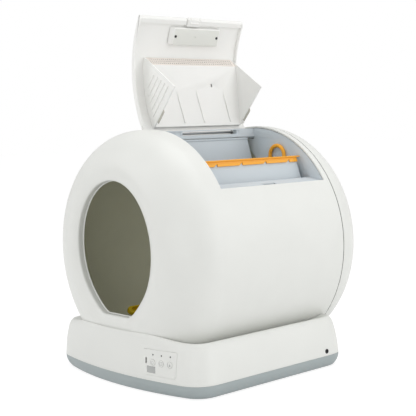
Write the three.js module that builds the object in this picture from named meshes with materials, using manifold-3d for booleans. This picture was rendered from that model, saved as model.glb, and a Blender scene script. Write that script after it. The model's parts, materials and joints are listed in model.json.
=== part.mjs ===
// Self cleaning litter box: a round drum on a wide base, with the lid over its waste bin open.
// Millimetres, +Z up, X to the right as seen from the entry, Y to the back.
// The origin is on the floor, under the middle of the closed box.
import * as THREE from "three";
import { mergeVertices } from "three/addons/utils/BufferGeometryUtils.js";
import Module from "manifold-3d";

const wasm = await Module();
wasm.setup();
const { Manifold, Mesh: SolidMesh } = wasm;

// Shared clearances and steps
const seatGap = 0.3;
const runGap = 0.6;
const overrun = 20;
const fullTurn = 2 * Math.PI;

// Drum
const drumRadius = 260;
const drumWall = 3.2;
const drumAxisZ = 273.5;
const drumFront = -260.7;
const frontDomeWidth = 126;
const frontDomeDepth = 96;
const seamY = 183.2;
const drumRear = 273.1;
const rearDomeWidth = 96.5;
const rearDomeDepth = 88;
const drumSides = 40;
const domeSteps = 4;

// Entry
const entryHalfWidth = 131;
const entryHalfHeight = 143.5;
const entryZ = 286.5;
const entryFlatZ = 145;
const entryFlatHalf = 40;
const entryTurnDeg = 45;
const lipWidth = 40;
const lipDepth = 20;
const throatDepth = 26;
const entrySteps = 24;
const cornerSteps = 5;

// Top opening and lid
const openingFront = -135.2;
const openingRear = 167.5;
const openingLeft = -35;
const openingDeg = 58.5;
const lidLeft = -31.5;
const lidThickness = 3;
const lidGap = 0.6;
const lidRimDepth = 7;
const lidRimWidth = 3;
const lidEdgeWidth = 14;
const lidEdgeDepth = 5.5;
const lidEndGapDeg = 0.3;
const hingeX = -14;
const hingeZ = 522.2;
const lidOpenDeg = 118;
const pinRadius = 2.5;
const eyeRadius = 6;
const armWidth = 20;
const armFrontY = -75;
const armRearY = 114;
const lidSteps = 14;

// Lid chute, which closes over the bin
const chuteFront = -106.5;
const chuteRear = 151.5;
const chuteWall = 2.5;
const chuteHighX = 154;
const chuteHighZ = 473.2;
const chuteTipX = 44;
const chuteTipZ = 416.2;
const chuteLowX = 6;
const chuteLowZ = 523.2;
const ventX = 130;
const ventZ = 465.2;
const ribCount = 5;
const ribWidth = 2.4;
const ribHeight = 2;
const ribRunShare = 0.86;
const ribTaperShare = 0.74;
const sealDrop = 6;
const sealShares = [0.56, 0.87];

// Filter box on the lid
const filterY = 29;
const filterBaseLength = 147;
const filterFaceLength = 134;
const filterLowDeg = 44.5;
const filterHighDeg = 53.8;
const filterDepth = 11;
const filterWall = 2;
const filterScrewRadius = 3;
const filterScrewSpan = 121;
const filterMarginDeg = 2;

// Lid latch
const latchY = 16;
const latchWidth = 38;
const latchDepth = 9;
const latchLength = 20;
const latchHook = 4;
const latchSlotBeforeDeg = 4;
const latchSlotBeyondDeg = 2;

// Waste bay in the drum's top
const bayWall = 2.5;
const bayArcStartDeg = -11.5;
const bayArcEndDeg = 61;
const beamLeft = -7.5;
const beamRight = 4;
const beamLow = 510.2;
const beamHigh = 529.2;
const slotLow = 517.7;
const slotHigh = 526.7;
const slotFront = -51;
const slotRear = 111;
const ledgeInnerZ = 415.2;
const ledgeOuterZ = 408.2;
const ledgeOuterX = 217;
const troughLeft = 22;
const troughRight = 178;
const troughFloor = 352.2;
const troughLeftTop = 447.2;

// Waste bin, comb bar and handles
const binWall = 2.5;
const binFront = -121;
const binRear = 156.5;
const binLeft = 27.5;
const binRight = 171;
const binFloor = troughFloor + bayWall + seatGap;
const binLeftTop = 449.2;
const binEndTop = 451.2;
const binRightTop = 460.6;
const binLeanX = 150;
const binLeanZ = 450.7;
const binLeanRun = 20;
const binLeanRise = 57;
const barTopWidth = 14;
const barTopThickness = 2.6;
const barFaceThickness = 2.6;
const barDrop = 10.5;
const barFront = -123;
const barRear = 163.5;
const notchPitch = 71;
const notchFirst = 129;
const notchCount = 4;
const notchWidth = 7;
const notchDepth = 6;
const handleX = 83.5;
const handleHalf = 22.5;
const handleTube = 8.4;
const handleRise = 29;
const handlePivotZ = 458.2;
const trunnionRadius = 2.4;
const earThickness = 3.4;
const earHeight = 7;
const handleOut = 5.1;
const handleSteps = 8;
const handleSides = 6;

// Waste flap under the beam
const flapPivotX = 0;
const flapPivotZ = 505.7;
const flapLength = 50;
const flapLeanDeg = 16;
const flapThickness = 2.5;
const flapBarrel = 3.4;
const flapPinRadius = 1.5;
const flapFront = -101;
const flapRear = 146.5;

// Litter pan
const panClearance = 7.8;
const panRadius = drumRadius - drumWall - panClearance;
const panWall = 2.5;
const panFront = -190;
const collarLap = 2.3;
const collarStraight = 4;
const collarFlare = 60;
const panCollarFront = drumFront + throatDepth - collarLap;
const panRear = 172.9;
const panHole = 16;
const panCutDeg = 2;

// Rake and drive
const rakeRestDeg = 39.5;
const rakeReach = 57;
const rakeBarInner = panRadius - rakeReach;
const rakeBarDepth = 11;
const rakeBarWidth = 22;
const rakeClearance = 6;
const rakeTip = panRadius - rakeClearance;
const rakeFront = -128;
const rakeRear = 151;
const tineCount = 13;
const tineWidth = 9;
const tineThickness = 4;
const armThickness = 10;
const armHalfWidth = 14;
const hubRadius = 24;
const hubRear = 169;
const shaftRadius = 8;
const shaftRear = 203;
const bearingRadius = 14;
const bulkheadFront = 176;
const bulkheadThickness = 3;
const bulkheadBossRear = 185;
const gearTeeth = 36;
const pinionTeeth = 12;
const gearModule = 3.1;
const gearFront = 187.5;
const gearWidth = 9;
const motorRadius = 18;
const motorLength = 46;
const motorShaftRadius = 3;
const bracketThickness = 2.5;
const bracketHalfWidth = 26;
const toothHeightShare = 0.85;
const toothDepthShare = 1.15;
const toothRootShare = 0.2;
const toothTipShare = 0.1;
const toothGapShare = 0.5;

// Base
const baseWidth = 504.8;
const baseFront = -265.5;
const baseRear = 197;
const baseCorner = 48;
const baseRearCorner = 50;
const frontBow = 31.7;
const rearBow = 8;
const baseWall = 3;
const trayBottom = 2;
const seamZ = 28.2;
const sideRimZ = 109;
const frontRimRise = 12.5;
const rimDish = 22;
const rimLean = 24;
const rimInnerLean = 86;
const rimInnerShare = 0.7;
const wallShares = [[0, 0], [0.15, 0.44], [0.37, 0.76], [0.54, 0.9], [1, 1]];
const wallFrontShare = 0.1;
const trayLean = 11;
const trayFrontShare = 0.5;
const planSteps = 6;
const planCornerSteps = 4;
const planRearSteps = 2;
const trayShares = [[1, 0], [0.45, 0.3], [0.1, 0.65], [0, 1]];
const rimRiseShares = [0.4, 0.85];
const cradleFront = -150;
const cradleRear = 118;
const cradleThickness = 5;
const cradleInner = 110;
const cradleInset = 47.4;
const cradleOuter = baseWidth / 2 - cradleInset;
const cradleTop = 78;
const bossInset = 30.4;
const bossX = baseWidth / 2 - bossInset;
const bossFront = -196;
const bossRear = 122;
const bossRadius = 8;
const screwRadius = 2;
const screwHead = 4.5;
const screwHeadHeight = 3;
const screwLength = 38;
const footInset = 72.4;
const footX = baseWidth / 2 - footInset;
const footFront = -200;
const footRear = 140;
const footRadius = 15;
const footStem = 4;
const footHeight = 1.7;
const cellLength = 48;
const cellWidth = 13;
const cellHeight = 8;

// Control panel and socket
const panelInset = 60.4;
const panelWidth = 88;
const panelRight = baseWidth / 2 - panelInset;
const panelLeft = panelRight - panelWidth;
const panelLow = 40;
const panelHigh = 92;
const panelCorner = 6;
const panelThickness = 1.5;
const panelProud = 0.5;
const keyZ = 66.2;
const keyInset = 27;
const keyFirstX = panelLeft + keyInset;
const keyPitch = 22.5;
const keyRadius = 6.4;
const keyProud = 0.5;
const keyLength = 9;
const keyFlange = 1.6;
const lampZ = 82;
const lampRadius = 1.7;
const lampLength = 6;
const windowInset = 21.8;
const windowX = panelLeft + windowInset;
const windowZ = 51.4;
const windowWidth = 23;
const windowHeight = 13;
const speakerInset = 8;
const speakerX = panelLeft + speakerInset;
const speakerWidth = 4.5;
const speakerHeight = 14;
const boardThickness = 1.6;
const boardMargin = 3;
const boardPost = 3;
const socketY = 127;
const socketZ = 38;
const socketRadius = 5;
const socketBore = 3.2;
const socketLength = 13;
const socketFlange = 1.2;

// Finishes
const white = new THREE.MeshStandardMaterial({ color: 0xe6e6e0, roughness: 0.42 });
const lidWhite = new THREE.MeshStandardMaterial({ color: 0xf2f2ee, roughness: 0.45 });
const grey = new THREE.MeshStandardMaterial({ color: 0xa4adae, roughness: 0.5 });
const bayGrey = new THREE.MeshStandardMaterial({ color: 0xbfc7cb, roughness: 0.5 });
const panGrey = new THREE.MeshStandardMaterial({ color: 0x8a8a80, roughness: 0.6 });
const orange = new THREE.MeshStandardMaterial({ color: 0xffb232, roughness: 0.4 });
const rubber = new THREE.MeshStandardMaterial({ color: 0x55585a, roughness: 0.85 });
const darkPlastic = new THREE.MeshStandardMaterial({ color: 0x303234, roughness: 0.5 });
const steel = new THREE.MeshStandardMaterial({ color: 0x9a9c9e, roughness: 0.3, metalness: 1 });
const boardGreen = new THREE.MeshStandardMaterial({ color: 0x2c6b45, roughness: 0.6 });
const brass = new THREE.MeshStandardMaterial({ color: 0xc9b98a, roughness: 0.35, metalness: 0.8 });
const carbon = new THREE.MeshStandardMaterial({ color: 0x2a2a2a, roughness: 0.95 });

const rad = THREE.MathUtils.degToRad;
const part = new THREE.Group();
part.position.y = -(baseFront + drumRear) / 2;

// A closed geometry as a solid, turned right side out if need be
function solid(geometry) {
  const bare = geometry.clone();
  bare.deleteAttribute("normal");
  bare.deleteAttribute("uv");
  const merged = mergeVertices(bare);
  const vertices = Float32Array.from(merged.attributes.position.array);
  const triangles = Uint32Array.from(merged.index.array);
  let volume = 0;
  const a = new THREE.Vector3();
  const b = new THREE.Vector3();
  const c = new THREE.Vector3();
  for (let i = 0; i < triangles.length; i += 3) {
    a.fromArray(vertices, 3 * triangles[i]);
    b.fromArray(vertices, 3 * triangles[i + 1]);
    c.fromArray(vertices, 3 * triangles[i + 2]);
    volume += a.dot(b.cross(c));
  }
  if (volume < 0) {
    for (let i = 0; i < triangles.length; i += 3) {
      [triangles[i + 1], triangles[i + 2]] = [triangles[i + 2], triangles[i + 1]];
    }
  }
  return new Manifold(new SolidMesh({ numProp: 3, vertProperties: vertices, triVerts: triangles }));
}

function piece(name, body, material, parent = part) {
  const result = body.getMesh();
  const geometry = new THREE.BufferGeometry();
  geometry.setAttribute("position", new THREE.BufferAttribute(result.vertProperties, 3));
  geometry.setIndex(new THREE.BufferAttribute(result.triVerts, 1));
  geometry.computeVertexNormals();
  const mesh = new THREE.Mesh(geometry, material);
  mesh.name = name;
  parent.add(mesh);
  return mesh;
}

function block(x0, x1, y0, y1, z0, z1) {
  const box = new THREE.BoxGeometry(x1 - x0, y1 - y0, z1 - z0);
  box.translate((x0 + x1) / 2, (y0 + y1) / 2, (z0 + z1) / 2);
  return solid(box);
}

function flatShape(points) {
  return new THREE.Shape(points.map(([u, v]) => new THREE.Vector2(u, v)));
}

// An outline in X and Z, pushed along Y
function prismY(points, y0, y1) {
  const geometry = new THREE.ExtrudeGeometry(flatShape(points), { depth: y1 - y0, bevelEnabled: false });
  geometry.rotateX(Math.PI / 2);
  geometry.translate(0, y1, 0);
  return solid(geometry);
}

function rodY(x, z, radius, y0, y1, sides = 12) {
  const rod = new THREE.CylinderGeometry(radius, radius, y1 - y0, sides);
  rod.translate(x, (y0 + y1) / 2, z);
  return solid(rod);
}

function rodZ(x, y, radius, z0, z1, sides = 12) {
  const rod = new THREE.CylinderGeometry(radius, radius, z1 - z0, sides);
  rod.rotateX(Math.PI / 2);
  rod.translate(x, y, (z0 + z1) / 2);
  return solid(rod);
}

function rodX(y, z, radius, x0, x1, sides = 12) {
  const rod = new THREE.CylinderGeometry(radius, radius, x1 - x0, sides);
  rod.rotateZ(Math.PI / 2);
  rod.translate((x0 + x1) / 2, y, z);
  return solid(rod);
}

// A profile of [radius, y] turned about the drum's axis
function turned(profile, sides = drumSides) {
  const points = profile.map(([r, y]) => new THREE.Vector2(r, y));
  const lathe = new THREE.LatheGeometry(points, sides);
  lathe.translate(0, 0, drumAxisZ);
  return solid(lathe);
}

// Rings of points with equal counts, joined into a skin; closed on itself or capped at both ends
function skin(rings, closed) {
  const count = rings[0].length;
  const positions = rings.flat(2);
  const index = [];
  const loops = closed ? rings.length : rings.length - 1;
  for (let k = 0; k < loops; k += 1) {
    const low = k * count;
    const high = ((k + 1) % rings.length) * count;
    for (let i = 0; i < count; i += 1) {
      const j = (i + 1) % count;
      index.push(low + i, low + j, high + j, low + i, high + j, high + i);
    }
  }
  if (!closed) {
    for (const k of [0, rings.length - 1]) {
      const centre = positions.length / 3;
      const mean = (axis) => rings[k].reduce((total, point) => total + point[axis], 0) / count;
      positions.push(mean(0), mean(1), mean(2));
      for (let i = 0; i < count; i += 1) {
        const j = (i + 1) % count;
        const pair = k === 0 ? [j, i] : [i, j];
        index.push(centre, k * count + pair[0], k * count + pair[1]);
      }
    }
  }
  const geometry = new THREE.BufferGeometry();
  geometry.setAttribute("position", new THREE.BufferAttribute(Float32Array.from(positions), 3));
  geometry.setIndex(index);
  return solid(geometry);
}

// A point of the drum's cross-section at an angle from the top toward +X
function onDrum(radius, degrees) {
  return [radius * Math.sin(rad(degrees)), drumAxisZ + radius * Math.cos(rad(degrees))];
}

function drumArc(radius, fromDeg, toDeg, steps) {
  const points = [];
  for (let i = 0; i <= steps; i += 1) {
    points.push(onDrum(radius, fromDeg + ((toDeg - fromDeg) * i) / steps));
  }
  return points;
}

function angleAt(radius, x) {
  return THREE.MathUtils.radToDeg(Math.asin(x / radius));
}

function bezier(start, control, end, steps) {
  const points = [];
  for (let i = 1; i < steps; i += 1) {
    const t = i / steps;
    const u = 1 - t;
    points.push(start.map((s, k) => u * u * s + 2 * u * t * control[k] + t * t * end[k]));
  }
  return points;
}

// The drum's outer form: a flat face, a dome and a straight barrel
function frontDome(offset) {
  const points = [];
  for (let i = 0; i <= domeSteps; i += 1) {
    const turn = rad((90 * i) / domeSteps);
    points.push([
      drumRadius - frontDomeWidth + (frontDomeWidth + offset) * Math.sin(turn),
      drumFront + frontDomeDepth - (frontDomeDepth + offset) * Math.cos(turn),
    ]);
  }
  return points;
}

function rearDome(offset) {
  const points = [];
  for (let i = 0; i <= domeSteps; i += 1) {
    const turn = rad((90 * i) / domeSteps);
    points.push([
      drumRadius - rearDomeWidth + (rearDomeWidth + offset) * Math.cos(turn),
      drumRear - rearDomeDepth + (rearDomeDepth + offset) * Math.sin(turn),
    ]);
  }
  return points;
}

function drumEnvelope(offset) {
  const front = frontDome(offset);
  const rear = rearDome(offset);
  return turned([[0, front[0][1]], ...front, ...rear, [0, rear[domeSteps][1]]]);
}

// The entry's outline, offset outwards: a tall oval whose lower corners run into a flat foot
function entryOutline(offset) {
  const halfWidth = entryHalfWidth + offset;
  const halfHeight = entryHalfHeight + offset;
  const footZ = entryFlatZ - offset;
  const points = [];
  for (let i = 0; i <= entrySteps; i += 1) {
    const turn = rad(-entryTurnDeg + ((180 + 2 * entryTurnDeg) * i) / entrySteps);
    points.push([halfWidth * Math.cos(turn), entryZ + halfHeight * Math.sin(turn)]);
  }
  const right = points[0];
  const left = points[entrySteps];
  const run = (right[1] - footZ) / (halfHeight * Math.cos(rad(entryTurnDeg)));
  const cornerX = right[0] - run * halfWidth * Math.sin(rad(entryTurnDeg));
  points.push(...bezier(left, [-cornerX, footZ], [-entryFlatHalf, footZ], cornerSteps));
  points.push([-entryFlatHalf, footZ], [entryFlatHalf, footZ]);
  points.push(...bezier([entryFlatHalf, footZ], [cornerX, footZ], right, cornerSteps));
  return points;
}

// How far the drum's front surface lies behind its flat face
const faceProfile = frontDome(0);

function faceDepth(x, z) {
  const reach = Math.hypot(x, z - drumAxisZ);
  const next = Math.max(faceProfile.findIndex(([radius]) => radius > reach), 1);
  const [fromRadius, fromY] = faceProfile[next - 1];
  const [toRadius, toY] = faceProfile[next];
  const share = Math.max(reach - fromRadius, 0) / (toRadius - fromRadius);
  return fromY - drumFront + (toY - fromY) * share;
}

function entryRing(sections, depthAt = () => 0) {
  const rings = sections.map(([offset, y]) => entryOutline(offset)
    .map(([x, z]) => [x, y + depthAt(x, z), z]));
  return skin(rings, true);
}

function openingPrism(leftX, endDeg, y0, y1) {
  const reach = drumRadius + overrun;
  return prismY(
    [
      [leftX, drumAxisZ + drumRadius / 2],
      [leftX, drumAxisZ + reach],
      [reach, drumAxisZ + reach],
      onDrum(reach + overrun, endDeg),
      onDrum(drumRadius - overrun, endDeg),
    ],
    y0,
    y1,
  );
}

// Drum shell, with its entry and its top opening
function makeDrumShell() {
  const outer = frontDome(0);
  const inner = frontDome(-drumWall).reverse();
  const profile = [
    [0, outer[0][1]],
    ...outer,
    [drumRadius, seamY],
    [drumRadius - drumWall, seamY],
    ...inner,
    [0, inner[domeSteps][1]],
  ];
  const throatBack = drumFront + throatDepth;
  const lip = [[0, throatBack]];
  const lipArc = (inset) => {
    for (let i = 0; i <= domeSteps; i += 1) {
      const turn = rad((90 * i) / domeSteps);
      lip.push([
        lipWidth - (lipWidth - inset) * Math.cos(turn),
        drumFront + lipDepth - (lipDepth - inset) * Math.sin(turn),
      ]);
    }
  };
  lipArc(0);
  lip.push([lipWidth + drumWall / 2, drumFront + drumWall / 4]);
  lip.push([lipWidth + drumWall / 2, drumFront + drumWall]);
  const behind = lip.length;
  lipArc(drumWall);
  lip.push(...lip.splice(behind).reverse(), [drumWall, throatBack]);
  return turned(profile)
    .subtract(prismY(entryOutline(lipWidth), drumFront - overrun, drumFront + lipDepth))
    .add(entryRing(lip, faceDepth))
    .subtract(openingPrism(openingLeft, openingDeg, openingFront, openingRear));
}

function makeRearCover() {
  const outer = rearDome(0);
  const inner = rearDome(-drumWall).reverse();
  const front = seamY + seatGap;
  const profile = [
    [drumRadius, front],
    ...outer,
    [0, drumRear],
    [0, drumRear - drumWall],
    ...inner,
    [drumRadius - drumWall, front],
    [drumRadius, front],
  ];
  let cover = turned(profile);
  for (const [x, z] of coverScrewPlaces()) {
    const foot = bulkheadFront + bulkheadThickness + seatGap;
    const post = rodY(x, z, bossRadius, foot, drumRear - drumWall / 2);
    cover = cover
      .add(post)
      .subtract(rodY(x, z, screwRadius + seatGap, front - overrun, drumRear + overrun))
      .subtract(rodY(x, z, screwHead + seatGap, drumRear - screwHeadHeight - seatGap, drumRear + overrun));
  }
  return cover;
}

function coverScrewPlaces() {
  const reach = drumRadius - rearDomeWidth - bossRadius - screwHead;
  return [45, 135, 225, 315].map((degrees) => onDrum(reach, degrees));
}

// Rear bulkhead, which carries the rake's bearing and the motor
function makeBulkhead() {
  const back = bulkheadFront + bulkheadThickness;
  let plate = turned([
    [bearingRadius + seatGap, bulkheadFront],
    [drumRadius - drumWall - seatGap, bulkheadFront],
    [drumRadius - drumWall - seatGap, back],
    [bearingRadius + bossRadius, back],
    [bearingRadius + bossRadius, bulkheadBossRear],
    [bearingRadius + seatGap, bulkheadBossRear],
    [bearingRadius + seatGap, bulkheadFront],
  ]);
  for (const [x, z] of coverScrewPlaces()) {
    plate = plate.subtract(rodY(x, z, screwRadius + seatGap, bulkheadFront - overrun, back + overrun));
  }
  return plate;
}

// Litter pan: the fixed liner in which the litter lies
function makePan() {
  const rearFace = panRear - panWall;
  const body = turned([
    [panHole, rearFace],
    [panRadius - panWall, rearFace],
    [panRadius - panWall, panFront + panWall],
    [0, panFront + panWall],
    [0, panFront],
    [panRadius, panFront],
    [panRadius, panRear],
    [panHole, panRear],
    [panHole, rearFace],
  ]);
  const sleeve = drumWall + seatGap;
  const flared = sleeve + collarFlare;
  const straightEnd = panCollarFront + collarStraight;
  const collar = entryRing([
    [sleeve, panCollarFront],
    [sleeve + panWall, panCollarFront],
    [sleeve + panWall, straightEnd],
    [flared + panWall, panFront],
    [flared + panWall, panFront + panWall],
    [flared, panFront + panWall],
    [flared, panFront],
    [sleeve, straightEnd],
  ]);
  const mouth = prismY(entryOutline(flared), panFront - overrun, panFront + overrun);
  const room = openingPrism(onDrum(panRadius, bayArcStartDeg - panCutDeg)[0], bayArcEndDeg + panCutDeg,
    openingFront - bayWall - runGap, rearFace - seatGap);
  return body.subtract(mouth).add(collar).subtract(room);
}

// Waste bay: the grey liner of the top opening, with the hinge beam, the ledge and the trough
const facetShare = Math.cos(Math.PI / drumSides);
const bayRadius = (drumRadius - drumWall) * facetShare - seatGap;
const bayFront = openingFront + seatGap;
const bayRear = openingRear - seatGap;

function makeBay() {
  const wallOutline = [
    ...drumArc(bayRadius, bayArcStartDeg, bayArcEndDeg, lidSteps),
    [troughRight + bayWall, ledgeInnerZ],
    [troughRight + bayWall, troughFloor],
    [troughLeft, troughFloor],
    [troughLeft, troughLeftTop],
    [openingLeft - bossRadius, flapPivotZ],
  ];
  const ledgeEnd = onDrum(bayRadius, bayArcEndDeg);
  const ledgeTip = onDrum(bayRadius, openingDeg);
  const insideFront = bayFront - bayWall;
  const insideRear = bayRear + bayWall;
  const ledge = prismY(
    [
      [troughRight, ledgeInnerZ],
      [troughRight, ledgeInnerZ - bayWall],
      [ledgeEnd[0] - bayWall, ledgeEnd[1]],
      ledgeEnd,
      ledgeTip,
      [ledgeTip[0] - bayWall, ledgeTip[1]],
    ],
    insideFront,
    insideRear,
  );
  const recess = block(troughRight + overrun, drumRadius, latchY - latchWidth / 2, latchY + latchWidth / 2,
    ledgeOuterZ - latchDepth, ledgeInnerZ + overrun);
  const beam = block(beamLeft, beamRight, insideFront, insideRear, beamLow, beamHigh)
    .subtract(block(beamLeft - overrun, beamRight + overrun, slotFront, slotRear, slotLow, slotHigh));
  return prismY(wallOutline, insideFront, bayFront)
    .add(prismY(wallOutline, bayRear, insideRear))
    .add(ledge)
    .add(block(troughRight, troughRight + bayWall, insideFront, insideRear, troughFloor, ledgeInnerZ))
    .add(block(troughLeft, troughRight + bayWall, insideFront, insideRear,
      troughFloor, troughFloor + bayWall))
    .add(block(troughLeft, troughLeft + bayWall, insideFront, insideRear, troughFloor, troughLeftTop))
    .add(beam)
    .subtract(recess)
    .subtract(rodY(hingeX, hingeZ, pinRadius + seatGap, insideFront - overrun, insideRear + overrun))
    .subtract(rodY(flapPivotX, flapPivotZ, flapPinRadius + seatGap,
      insideFront - overrun, insideRear + overrun));
}

// Waste flap: it hangs from its pin and lets the clumps through to the bin
function makeFlap() {
  const lean = rad(flapLeanDeg);
  const along = [Math.sin(lean), -Math.cos(lean)];
  const across = [Math.cos(lean), Math.sin(lean)];
  const half = flapThickness / 2;
  const place = (run, side) => [
    flapPivotX + along[0] * run + across[0] * side,
    flapPivotZ + along[1] * run + across[1] * side,
  ];
  const sheet = prismY([place(0, half), place(0, -half), place(flapLength, -half), place(flapLength, half)],
    flapFront, flapRear);
  return sheet
    .add(rodY(flapPivotX, flapPivotZ, flapBarrel, flapFront, flapRear))
    .subtract(rodY(flapPivotX, flapPivotZ, flapPinRadius + seatGap,
      flapFront - overrun, flapRear + overrun));
}

// Waste bin, open at the top, with ears for its two handles
function leanX(z) {
  return binLeanX + ((binLeanZ - z) * binLeanRun) / binLeanRise;
}

const binKneeZ = binLeanZ - ((binRight - binLeanX) * binLeanRise) / binLeanRun;

function binSection(inset, top) {
  return [
    [binLeft + inset, binFloor + inset],
    [binRight - inset, binFloor + inset],
    [binRight - inset, binKneeZ],
    [leanX(top) - inset, top],
    [binLeft + inset, top],
  ];
}

const rearHandleY = binRear + handleOut;
const frontHandleY = binFront - handleOut;

function makeBin() {
  const hollow = prismY(binSection(binWall, binRightTop + overrun), binFront + binWall, binRear - binWall);
  const leftTrim = block(binLeft - overrun, binLeft + binWall, binFront - overrun, binRear + overrun,
    binLeftTop, binRightTop + overrun);
  const endTrim = block(binLeft - overrun, leanX(binEndTop) - binWall,
    binFront - overrun, binRear + overrun, binEndTop, binRightTop + overrun);
  let bin = prismY(binSection(0, binRightTop), binFront, binRear).subtract(hollow).subtract(leftTrim)
    .subtract(endTrim);
  const earInner = handleHalf + handleTube / 2 + seatGap;
  for (const [wallY, pivotY] of [[binRear, rearHandleY], [binFront, frontHandleY]]) {
    const out = Math.sign(wallY - (binFront + binRear) / 2);
    const inside = wallY - out * binWall;
    const outside = pivotY + out * (trunnionRadius + runGap);
    for (const side of [-1, 1]) {
      const x0 = handleX + side * earInner;
      const x1 = x0 + side * earThickness;
      const ear = block(Math.min(x0, x1), Math.max(x0, x1), Math.min(inside, outside),
        Math.max(inside, outside), binEndTop - earHeight, handlePivotZ + trunnionRadius + runGap);
      bin = bin.add(ear);
    }
    bin = bin.subtract(rodX(pivotY, handlePivotZ, trunnionRadius + seatGap,
      handleX - earInner - overrun, handleX + earInner + overrun));
  }
  return bin;
}

function makeCombBar() {
  const low = binRightTop + seatGap;
  const outerX = (z) => leanX(z) + seatGap;
  const bottom = low - barDrop;
  const top = block(leanX(low) - barTopWidth / 2, leanX(low) + barTopWidth / 2, barFront, barRear,
    low, low + barTopThickness);
  let face = prismY(
    [
      [outerX(low + barTopThickness / 2), low + barTopThickness / 2],
      [outerX(bottom), bottom],
      [outerX(bottom) + barFaceThickness, bottom],
      [outerX(low + barTopThickness / 2) + barFaceThickness, low + barTopThickness / 2],
    ],
    barFront,
    binRear + runGap,
  );
  for (let i = 0; i < notchCount; i += 1) {
    const y = notchFirst - i * notchPitch;
    const notch = new THREE.CylinderGeometry(notchWidth / 2, notchWidth / 2, 2 * overrun, 4);
    notch.rotateZ(Math.PI / 2);
    notch.scale(1, 1, (2 * notchDepth) / notchWidth);
    notch.translate(outerX(bottom), y, bottom);
    face = face.subtract(solid(notch));
  }
  return top.add(face);
}

function makeHandle(pivotY) {
  const reach = handleHalf + handleTube / 2 + seatGap + earThickness;
  const legTop = handlePivotZ + handleRise - handleHalf;
  const corner = (side) => new THREE.Vector3(handleX + side * handleHalf, pivotY, legTop);
  const points = [new THREE.Vector3(handleX - handleHalf, pivotY, handlePivotZ)];
  for (let i = 0; i <= handleSteps; i += 1) {
    const turn = Math.PI * (1 - i / handleSteps);
    points.push(new THREE.Vector3(handleX + handleHalf * Math.cos(turn), pivotY,
      legTop + handleHalf * Math.sin(turn)));
  }
  points.push(new THREE.Vector3(corner(1).x, pivotY, handlePivotZ));
  const section = [];
  for (let i = 0; i < handleSides; i += 1) {
    const turn = (fullTurn * i) / handleSides;
    section.push([(handleTube / 2) * Math.cos(turn), (handleTube / 2) * Math.sin(turn)]);
  }
  const rings = points.map((point, i) => {
    const before = points[Math.max(i - 1, 0)];
    const after = points[Math.min(i + 1, points.length - 1)];
    const ahead = after.clone().sub(before).normalize();
    const side = new THREE.Vector3(0, 1, 0);
    const up = ahead.clone().cross(side);
    return section.map(([u, v]) => point.clone().addScaledVector(side, u).addScaledVector(up, v).toArray());
  });
  return skin(rings, false)
    .add(rodX(pivotY, handlePivotZ, handleTube / 2, handleX - handleHalf - handleTube / 2,
      handleX - handleHalf + handleTube / 2))
    .add(rodX(pivotY, handlePivotZ, handleTube / 2, handleX + handleHalf - handleTube / 2,
      handleX + handleHalf + handleTube / 2))
    .add(rodX(pivotY, handlePivotZ, trunnionRadius, handleX - reach, handleX - handleHalf))
    .add(rodX(pivotY, handlePivotZ, trunnionRadius, handleX + handleHalf, handleX + reach));
}

// Lid, modelled closed and then turned open about its pin
const lidFront = openingFront + lidGap;
const lidRear = openingRear - lidGap;
const lidEndDeg = openingDeg - lidEndGapDeg;
const lidInner = drumRadius - lidThickness;
const lidTurn = new THREE.Group();
lidTurn.position.set(hingeX, 0, hingeZ);
lidTurn.rotation.y = -rad(lidOpenDeg);
part.add(lidTurn);
const lid = new THREE.Group();
lid.position.set(-hingeX, 0, -hingeZ);
lidTurn.add(lid);

function lidBand(outer, inner, fromDeg, toDeg, y0, y1, steps = lidSteps) {
  const back = drumArc(inner, fromDeg, toDeg, steps).reverse();
  return prismY([...drumArc(outer, fromDeg, toDeg, steps), ...back], y0, y1);
}

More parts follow.
